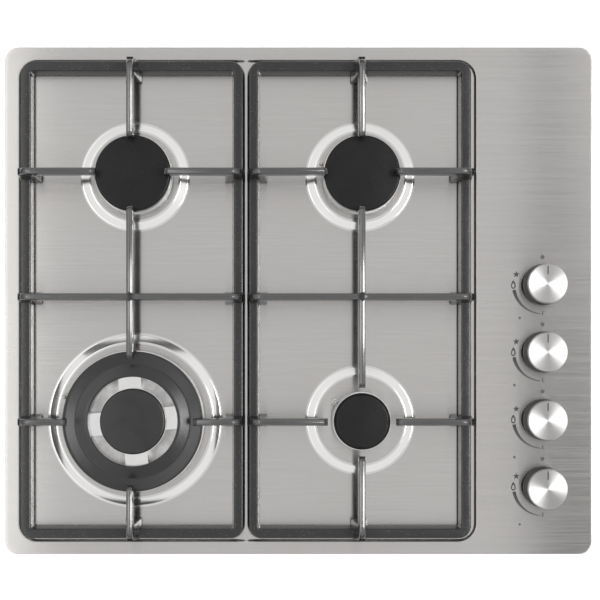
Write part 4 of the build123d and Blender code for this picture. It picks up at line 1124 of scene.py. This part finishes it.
@dataclass
class PanSupport:
    """One cast pan support: a frame of bars, standing fingers and splayed legs."""

    side: str
    x: float
    rear: Burner
    front: Burner
    width: float = 220.0
    length: float = 468.0
    middle: float = 0.3
    corner: float = 14.0
    bar_base: float = 13.0
    bar_top: float = 9.0
    bar_low: float = 57.0
    bar_high: float = 69.5
    bar_round: float = 1.5
    finger_top: float = 96.0
    finger_width: float = 6.6
    finger_depth: float = 12.0
    tip_depth: float = 8.5
    bevel: float = 4.0
    shoulder: float = 8.0
    shoulder_drop: float = 6.5
    leg_length: float = 20.0
    leg_top: float = 14.0
    side_leg: float = 12.0
    end_leg: float = 16.5
    leg_low: float = 57.6
    leg_bevel: float = 1.2
    leg_round: float = 1.4
    tip_blend: float = 0.6
    closed: float = 0.02
    edge: float = 0.9
    draft: float = 0.16
    crown: float = 0.76
    dip: float = 0.12

    def frame_bars(self, shell: Shell) -> None:
        """The frame: a rounded, tapered bar section carried round a rounded rectangle.

        Args:
            shell: the shell that takes the patch.
        """
        half_base, half_top = self.bar_base / 2, self.bar_top / 2
        low, high = self.bar_low, self.bar_high
        section = rounded([(0.0, low), (half_base, low), (half_top, high), (-half_top, high),
                           (-half_base, low), (0.0, low)], self.bar_round, 4)
        outline, out = rounded_rectangle(self.width - self.bar_base, self.length - self.bar_base,
                                         self.corner - half_base, 10)
        shell.patch(carried(section[:-1], outline, out, (self.x, self.middle)), along=True)

    def finger(self, shell: Shell, y: float, turn: float, stations: list[Station]) -> None:
        """A standing finger along a direction, as sections with their own tops and undersides.

        Args:
            shell: the shell that takes the patch.
            y: Y of the finger's origin on the support's middle line.
            turn: direction in degrees from +X.
            stations: distance from the origin, top Z and underside Z of each section.
        """
        along, across = axes(turn)
        reach, top, low = np.array(stations, float).T
        half = np.full(len(reach), self.finger_width / 2)
        half[[0, -1]] = self.closed
        depth = (top - low) / 2
        depth[[0, -1]] -= half[1] - self.closed
        centres = np.array([self.x, y, 0.0]) + reach[:, None] * along + ((top + low) / 2)[:, None] * UP
        shell.patch(loft(centres, half, depth, self.edge, across, UP, self.draft, self.crown), finish=1)

    def leg(self, shell: Shell, y: float, turn: float, reach: float, width: float) -> None:
        """A leg under a finger's outer end, wide at its foot and drawn in to the finger.

        Args:
            shell: the shell that takes the patch.
            y: Y of the finger's origin.
            turn: direction in degrees from +X.
            reach: distance to the frame's outer edge.
            width: the leg's width at its foot.
        """
        along, across = axes(turn)
        top = self.finger_top - self.shoulder_drop
        share = np.array([0.0, 0.0, 0.03, 0.2, 0.4, 0.6, 0.8, 0.97, 1.0, 1.0])
        height = self.leg_low + share * (top - self.leg_low)
        half_along = (self.leg_length + (self.leg_top - self.leg_length) * share) / 2
        half_across = (width + (self.finger_width - 0.3 - width) * share ** 0.9) / 2
        half_along[[0, -1]] -= self.leg_bevel
        half_across[[0, -1]] -= self.leg_bevel
        centres = np.array([self.x, y, 0.0]) + (reach - self.leg_length / 2) * along + height[:, None] * UP
        shell.patch(loft(centres, half_along, half_across, self.leg_round, along, across))

    def nose(self, start: float, way: float, rise: float, far_rise: float) -> list[Station]:
        """The sections of a bevelled tip.

        Args:
            start: distance of the tip's face from the finger's origin.
            way: 1 where the finger goes on to greater distances, -1 where it goes back.
            rise: how much lower the underside is where the bevel ends.
            far_rise: how much lower it is where the level top starts.

        Returns:
            The sections, from the tip inwards.
        """
        top, near, blend = self.finger_top, self.finger_top - self.tip_depth, self.tip_blend
        face = (start, top - self.bevel, near + 2 * blend)
        return [face, face, (start + 0.5 * way, top - self.bevel + blend, near),
                (start + way * (self.bevel - blend), top - 0.5, near - rise),
                (start + way * (self.bevel + blend), top, near - far_rise)]

    def arm(self, shell: Shell, y: float, turn: float, reach: float, tip: float, width: float) -> None:
        """A finger from its tip, or from the crossing, to the drop over the frame, with its leg.

        Args:
            shell: the shell that takes the patches.
            y: Y of the finger's origin.
            turn: direction in degrees from +X.
            reach: distance to the frame's outer edge.
            tip: distance to the bevelled tip, or 0 where the finger comes from a crossing.
            width: the leg's width at its foot.
        """
        top, deep, dipped = self.finger_top, self.finger_top - self.finger_depth, self.finger_top - self.dip
        end = reach - (self.leg_length - self.leg_top) / 2
        root = reach - self.leg_length + 3.0
        under = top - self.shoulder_drop - 4.0
        if tip:
            fall = (self.finger_depth - self.tip_depth) / (root - tip)
            inner = self.nose(tip, 1.0, fall * (self.bevel - self.tip_blend),
                              fall * (self.bevel + self.tip_blend))
        else:
            inner = [(-1.0, dipped, deep), (-1.0, dipped, deep), (4.0, dipped, deep), (8.0, top, deep)]
        last = (end, top - self.shoulder_drop - 0.5, under + 2.0)
        outer = [(root, top, deep), (end - self.shoulder - 1.0, top, under),
                 (end - self.shoulder + 1.2, top - 0.7, under),
                 (end - 1.2, top - self.shoulder_drop + 0.9, under), last, last]
        self.finger(shell, y, turn, inner + outer)
        self.leg(shell, y, turn, reach, width)

    def web(self, shell: Shell, y: float) -> None:
        """The four-sided boss where two fingers cross: rings of four points, wider and lower in turn.

        Args:
            shell: the shell that takes the patch.
            y: Y of the crossing.
        """
        top, deep = self.finger_top, self.finger_top - self.finger_depth + 0.3
        reach = np.array([self.closed, 4.6, 5.0, 6.2, 6.2, self.closed])
        out = circle(4)
        heights = [top, top, top - 0.15, top - 1.8, deep, deep]
        shell.patch(stacked(reach[:, None, None] * out[None] + (self.x, y), heights))

    def build(self) -> Piece:
        """Builds the frame, the arms, the long finger between the burners and the web where two cross.

        Returns:
            The support as one casting.
        """
        shell = Shell()
        self.frame_bars(shell)
        crossing = (self.rear.y + self.front.y) / 2
        arms = [(crossing, 0.0, 0.0), (crossing, 180.0, 0.0)]
        for burner, way in ((self.rear, 1.0), (self.front, -1.0)):
            arms += [(burner.y, 0.0, burner.tip), (burner.y, 180.0, burner.tip)]
            reach = self.length / 2 + way * (self.middle - burner.y)
            self.arm(shell, burner.y, 90.0 * way, reach, burner.tip, self.end_leg)
        for y, turn, tip in arms:
            self.arm(shell, y, turn, self.width / 2, tip, self.side_leg)
        top, deep, dipped = self.finger_top, self.finger_top - self.finger_depth, self.finger_top - self.dip
        middle = [(-12.0, top), (-4.0, dipped), (4.0, dipped), (12.0, top)]
        self.finger(shell, 0.0, 90.0, self.nose(self.front.y + self.front.tip, 1.0, 0.2, 0.3)
                    + [(crossing + step, high, deep) for step, high in middle]
                    + self.nose(self.rear.y - self.rear.tip, -1.0, 0.2, 0.3)[::-1])
        self.web(shell, crossing)
        dress(f"support_feet_{self.side}", RUBBER)
        return make_piece(shell, f"cast_support_{self.side}", f"support_{self.side}",
                          [SUPPORT_ENAMEL, FINGER_ENAMEL], (f"pan_support_{self.side}",))


@dataclass
class BurnerSet:
    """One burner's cup, crown and enamelled cap."""

    burner: Burner
    cap_low: float = 75.5
    cap_top: float = 81.0
    inner_cap: float = 31.8
    ring_bore: float = 43.1
    trough: float = 3.1
    rim_land: float = 2.2
    crowning: float = 0.1
    locator: float = 2.6
    locator_inset: float = 6.0
    ring_locator_inset: float = 4.3
    recess: float = 2.4

    def disc(self, radius: float, edge: float) -> Points:
        """A cap's closed outline: a nearly flat top, a rounded edge, and the recess underneath.

        Args:
            radius: the cap's radius.
            edge: how far the rounded edge reaches in.

        Returns:
            Radii and heights, anticlockwise from the recess.
        """
        low, top = self.cap_low, self.cap_top
        foot, roof = low - self.locator, low + self.recess
        outer = radius - self.locator_inset
        inner = outer - self.locator
        return rounded([(0.01, top), (radius - edge, top - self.crowning), (radius, top - edge),
                        (radius, low), (outer, low), (outer, foot), (inner, foot), (inner, roof),
                        (0.01, roof)], 0.8, 4)[::-1]

    def build(self) -> None:
        """Dresses the cup and crown, and builds the cap or caps."""
        key = self.burner.key
        large = key == "front_left"
        place = (self.burner.x, self.burner.y)
        dress(f"burner_cup_{key}", CUP_ALLOY)
        dress(f"burner_crown_{key}", CROWN_ALLOY)
        shell = Shell()
        radius = self.inner_cap if large else self.burner.cap
        shell.patch(turned(self.disc(radius, self.burner.cap_edge), place, 128))
        finish = RING_ENAMEL if large else CAP_ENAMEL
        make_piece(shell, f"enamel_cap_{key}", f"cap_{key}", [finish], (f"burner_cap_{key}",))
        if large:
            self.ring_cap()

    def ring_cap(self) -> None:
        """The large burner's ring cap: a shallow trough between two rolled rims, with its locating ring."""
        inner, outer = self.ring_bore, self.burner.cap
        low, rim, foot = self.cap_low, self.cap_top - self.crowning, self.cap_low - self.locator
        ring = inner + self.ring_locator_inset
        middle = (inner + outer) / 2
        crest = rounded([(inner, low), (inner, rim), (inner + self.rim_land, rim),
                         (middle, self.cap_top - self.trough), (outer - self.rim_land, rim), (outer, rim),
                         (outer, low), (ring + self.locator, low), (ring + self.locator, foot),
                         (ring, foot), (ring, low), (inner, low)], 1.3, 6)
        shell = Shell()
        shell.patch(turned(crest[:-1], (self.burner.x, self.burner.y), 160), along=True)
        make_piece(shell, "enamel_ring_cap", "ring_cap", [RING_ENAMEL], ("wok_ring_cap",))


@dataclass
class Dial:
    """The printed scale beside a knob: off dot, spark, large flame, tapering arc and small flame mark."""

    number: int
    x: float
    y: float
    lit: tuple[int, int]
    level: float = 56.0
    ink: float = 0.05
    scale: float = 27.4
    arc_radius: float = 28.4
    dot_radius: float = 2.05
    spark: tuple[float, float] = (-25.8, 10.3)
    spark_reach: tuple[float, float] = (3.7, 1.45)
    large_flame: tuple[float, float] = (-28.7, 0.4)
    small_flame: tuple[float, float] = (0.2, -27.7)
    locator: tuple[float, float] = (-25.0, -34.8)
    locator_step: tuple[float, float] = (2.6, 2.3)

    def blot(self, shell: Shell, outline: Points, inner: Points) -> None:
        """A printed shape: its middle or inner outline, its outline and the ink's edge down to the plate."""
        rings = np.stack([np.broadcast_to(inner, outline.shape), outline, outline])
        shell.patch(stacked(rings, [self.level + self.ink, self.level + self.ink, self.level]))

    def build(self) -> None:
        """Builds the whole scale as one thin piece."""
        shell = Shell()
        out = circle(28)
        middle = np.array([self.x, self.y])
        dot = middle + (0.0, self.scale)
        self.blot(shell, dot + out * self.dot_radius, dot)
        star = middle + self.spark
        turn = np.arange(10) * pi / 5 + pi / 2
        size = np.where(np.arange(10) % 2 == 0, *self.spark_reach)
        self.blot(shell, star + size[:, None] * directions(turn), star)
        self.flame(shell, middle + self.large_flame)
        self.arc(shell, middle)
        mark = middle + self.small_flame
        bar = np.array([(-0.55, -2.2), (0.55, -2.2), (0.55, 2.2), (-0.55, 2.2)])
        self.blot(shell, mark + bar, mark)
        for corner in ((-1, -1), (-1, 1), (1, -1), (1, 1)):
            spot = middle + self.locator + np.array(corner) * self.locator_step
            self.blot(shell, spot + out * (1.25 if corner == self.lit else 0.22), spot)
        make_piece(shell, f"dial_print_{self.number}", "cooktop", [INK])

    def flame(self, shell: Shell, place: Points) -> None:
        """A flame: a band between two drops, each wide by sin t times sin(t/2) to the 0.8 and high by cos t.

        Args:
            shell: the shell that takes the patch.
            place: the flame's middle.
        """
        turn = np.arange(32) * 2 * pi / 32
        drop = np.column_stack([np.sin(turn) * np.sin(turn / 2) ** 0.8, np.cos(turn)])
        self.blot(shell, place + drop * (2.9, 4.4), place + (0.0, -0.7) + drop * (1.5, 2.4))

    def arc(self, shell: Shell, middle: Points) -> None:
        """A tapering band from nine to six o'clock: its half width falls evenly along the turn.

        Args:
            shell: the shell that takes the patch.
            middle: the knob's axis.
        """
        turn = np.linspace(radians(190.0), radians(266.0), 40)
        out = directions(turn)
        half = np.linspace(1.75, 0.4, 40)[:, None]
        left, right = middle + out * (self.arc_radius + half), middle + out * (self.arc_radius - half)
        top = self.level + self.ink
        rows = np.stack([left, left, right, right])
        shell.patch(stacked(rows, [self.level, top, top, self.level]), around=False)


@dataclass
class Knobs:
    """The knobs with their taps, springs and seals."""

    finishes: dict[str, Finish] = field(default_factory=lambda: {
        "knob": KNOB_BLACK, "knob_face": KNOB_FACE, "tap_spindle": STEEL, "tap_spring": STEEL,
        "tap_plug": BRASS, "tap_body": TAP_ALLOY})

    def build(self) -> None:
        """Dresses the four knobs and what they drive."""
        for number in range(1, len(KNOBS) + 1):
            for part, finish in self.finishes.items():
                dress(f"{part}_{number}", finish)
        dress("spindle_seals", RUBBER)


@dataclass
class Underside:
    """The tray, the fixings and the gas and ignition parts inside it."""

    finishes: dict[str, Finish] = field(default_factory=lambda: {
        "bottom_tray": ZINC, "worktop_seal": FOAM, "tray_nuts": FIXING, "worktop_clamps": FIXING,
        "clamp_screws": FIXING, "gas_rail": FIXING, "gas_inlet": BRASS, "gas_jets": BRASS,
        "spark_electrodes": CERAMIC, "spark_generator": PALE_PLASTIC, "ignition_leads": SILICONE,
        "ignition_switches": BLACK_PLASTIC, "cable_gland": BLACK_PLASTIC})

    def build(self) -> None:
        """Dresses every piece under the plate."""
        for node, finish in self.finishes.items():
            dress(node, finish)
        for burner in BURNERS:
            dress(f"feed_tube_{burner.key}", TUBE)


@dataclass(frozen=True)
class Softbox:
    """A soft lamp: where it stands, its size in metres, and how bright its face is."""

    name: str
    place: tuple[float, float, float]
    size: tuple[float, float]
    radiance: float
    target: tuple[float, float, float] = (0.0, 0.0, 0.05)

    def build(self) -> None:
        """Adds the lamp. Its power is pi times its area times its radiance."""
        light = bpy.data.lights.new(self.name, "AREA")
        light.shape = "RECTANGLE"
        light.size, light.size_y = self.size
        light.energy = self.radiance * pi * self.size[0] * self.size[1]
        lamp = bpy.data.objects.new(self.name, light)
        aim = (Vector(self.target) - Vector(self.place)).to_track_quat("-Z", "Y")
        lamp.matrix_world = Matrix.Translation(self.place) @ aim.to_matrix().to_4x4()
        bpy.context.scene.collection.objects.link(lamp)


def wall_lamp(name: str, azimuth: float, elevation: float, size: tuple[float, float], radiance: float,
              distance: float = 2.2) -> Softbox:
    """A softbox that stands round the cooktop and faces it.

    Args:
        name: the lamp's name.
        azimuth: where it stands, in degrees anticlockwise from +X.
        elevation: its middle's height as an angle from the cooktop, in degrees.
        size: its width and height in metres.
        radiance: how bright its face is.
        distance: how far away its middle is, in metres.

    Returns:
        The softbox.
    """
    turn, rise = radians(azimuth), radians(elevation)
    reach = distance * cos(rise)
    return Softbox(name, (reach * cos(turn), reach * sin(turn), 0.05 + distance * sin(rise)), size, radiance)


@dataclass
class Studio:
    """A pale floor, soft lamps and the camera above the plate."""

    camera: tuple[float, float, float] = (-43.4, -54.3, 1196.0)
    focal: float = 69.5
    shift: tuple[float, float] = (0.075, 0.0933)
    floor_half: float = 4.0
    dim: Tone = (0.14, 0.14, 0.143)
    bright: Tone = (1.05, 1.05, 1.045)
    lamps: tuple[Softbox, ...] = (
        Softbox("overhead", (0.04, 0.0, 2.6), (1.64, 3.2), 0.63, (0.04, 0.0, 0.0)),
        Softbox("overhead_left", (-1.38, 0.0, 2.6), (1.2, 3.2), 1.36, (-1.38, 0.0, 0.0)),
        Softbox("overhead_corner", (1.27, 1.0, 2.6), (0.7, 1.6), 0.62, (1.27, 1.0, 0.0)),
        Softbox("overhead_low_corner", (1.27, -0.7, 2.6), (0.7, 1.8), 0.05, (1.27, -0.7, 0.0)),
        wall_lamp("key_right", 0.0, 57.0, (2.6, 2.4), 13.0, 7.0),
        wall_lamp("key_left", 180.0, 60.0, (2.2, 0.8), 5.0, 7.0),
    )

    def sky(self) -> None:
        """A pale room: white to the camera, and to mirrors bright overhead and dimmer low down."""
        world = bpy.data.worlds.new("room")
        world.use_nodes = True
        bpy.context.scene.world = world
        sheet = NodeSheet(world.node_tree)
        rise = sheet.add("SeparateXYZ", {0: sheet.add("TexCoord").outputs["Generated"]}).outputs[2]
        climb = sheet.span(rise, 0.1, 0.34, 0.0, 1.0)
        fall = sheet.span(rise, 0.77, 0.92, 1.0, 0.0)
        room = sheet.tone(self.dim, self.bright, sheet.math("MULTIPLY", climb, fall))
        seen = sheet.tone(room, (1.0, 1.0, 1.0), sheet.add("LightPath").outputs["Is Camera Ray"])
        sheet.feed(world.node_tree.nodes["Background"].inputs[0], seen)

    def floor(self) -> None:
        """A wide floor under the tray."""
        mesh = bpy.data.meshes.new("floor")
        signs = ((-1, -1), (1, -1), (1, 1), (-1, 1))
        corners = [(x * self.floor_half, y * self.floor_half, 0) for x, y in signs]
        mesh.from_pydata(corners, [], [(0, 1, 2, 3)])
        floor = bpy.data.objects.new("floor", mesh)
        floor.location.z = -0.0005
        bpy.context.scene.collection.objects.link(floor)
        mesh.materials.append(FLOOR.material())

    def build(self) -> None:
        """Sets up the floor, the lamps, the camera and the plain view."""
        self.floor()
        self.sky()
        for lamp in self.lamps:
            lamp.build()
        data = bpy.data.cameras.new("camera")
        data.lens = self.focal
        data.sensor_width = 36.0
        data.sensor_fit = "HORIZONTAL"
        data.shift_x, data.shift_y = self.shift
        camera = bpy.data.objects.new("camera", data)
        camera.location = Vector(self.camera) * MM
        bpy.context.scene.collection.objects.link(camera)
        bpy.context.scene.camera = camera
        bpy.context.scene.view_settings.view_transform = "Standard"


def main() -> None:
    """Builds and dresses the cooktop, sub-assembly by sub-assembly."""
    logging.basicConfig(level=logging.INFO, format="%(name)s %(message)s")
    rear_left, rear_right, front_left, front_right = BURNERS
    plate = HobPlate()
    plate.build()
    plate.studs()
    PanSupport("left", -163.0, rear_left, front_left).build()
    PanSupport("right", 58.8, rear_right, front_right).build()
    for burner in BURNERS:
        BurnerSet(burner).build()
    Knobs().build()
    lit = ((1, 1), (-1, 1), (-1, -1), (1, -1))
    for number, ((x, y), spot) in enumerate(zip(KNOBS, lit), 1):
        Dial(number, x, y, spot).build()
    Underside().build()
    Studio().build()


if __name__ == "__main__":
    main()
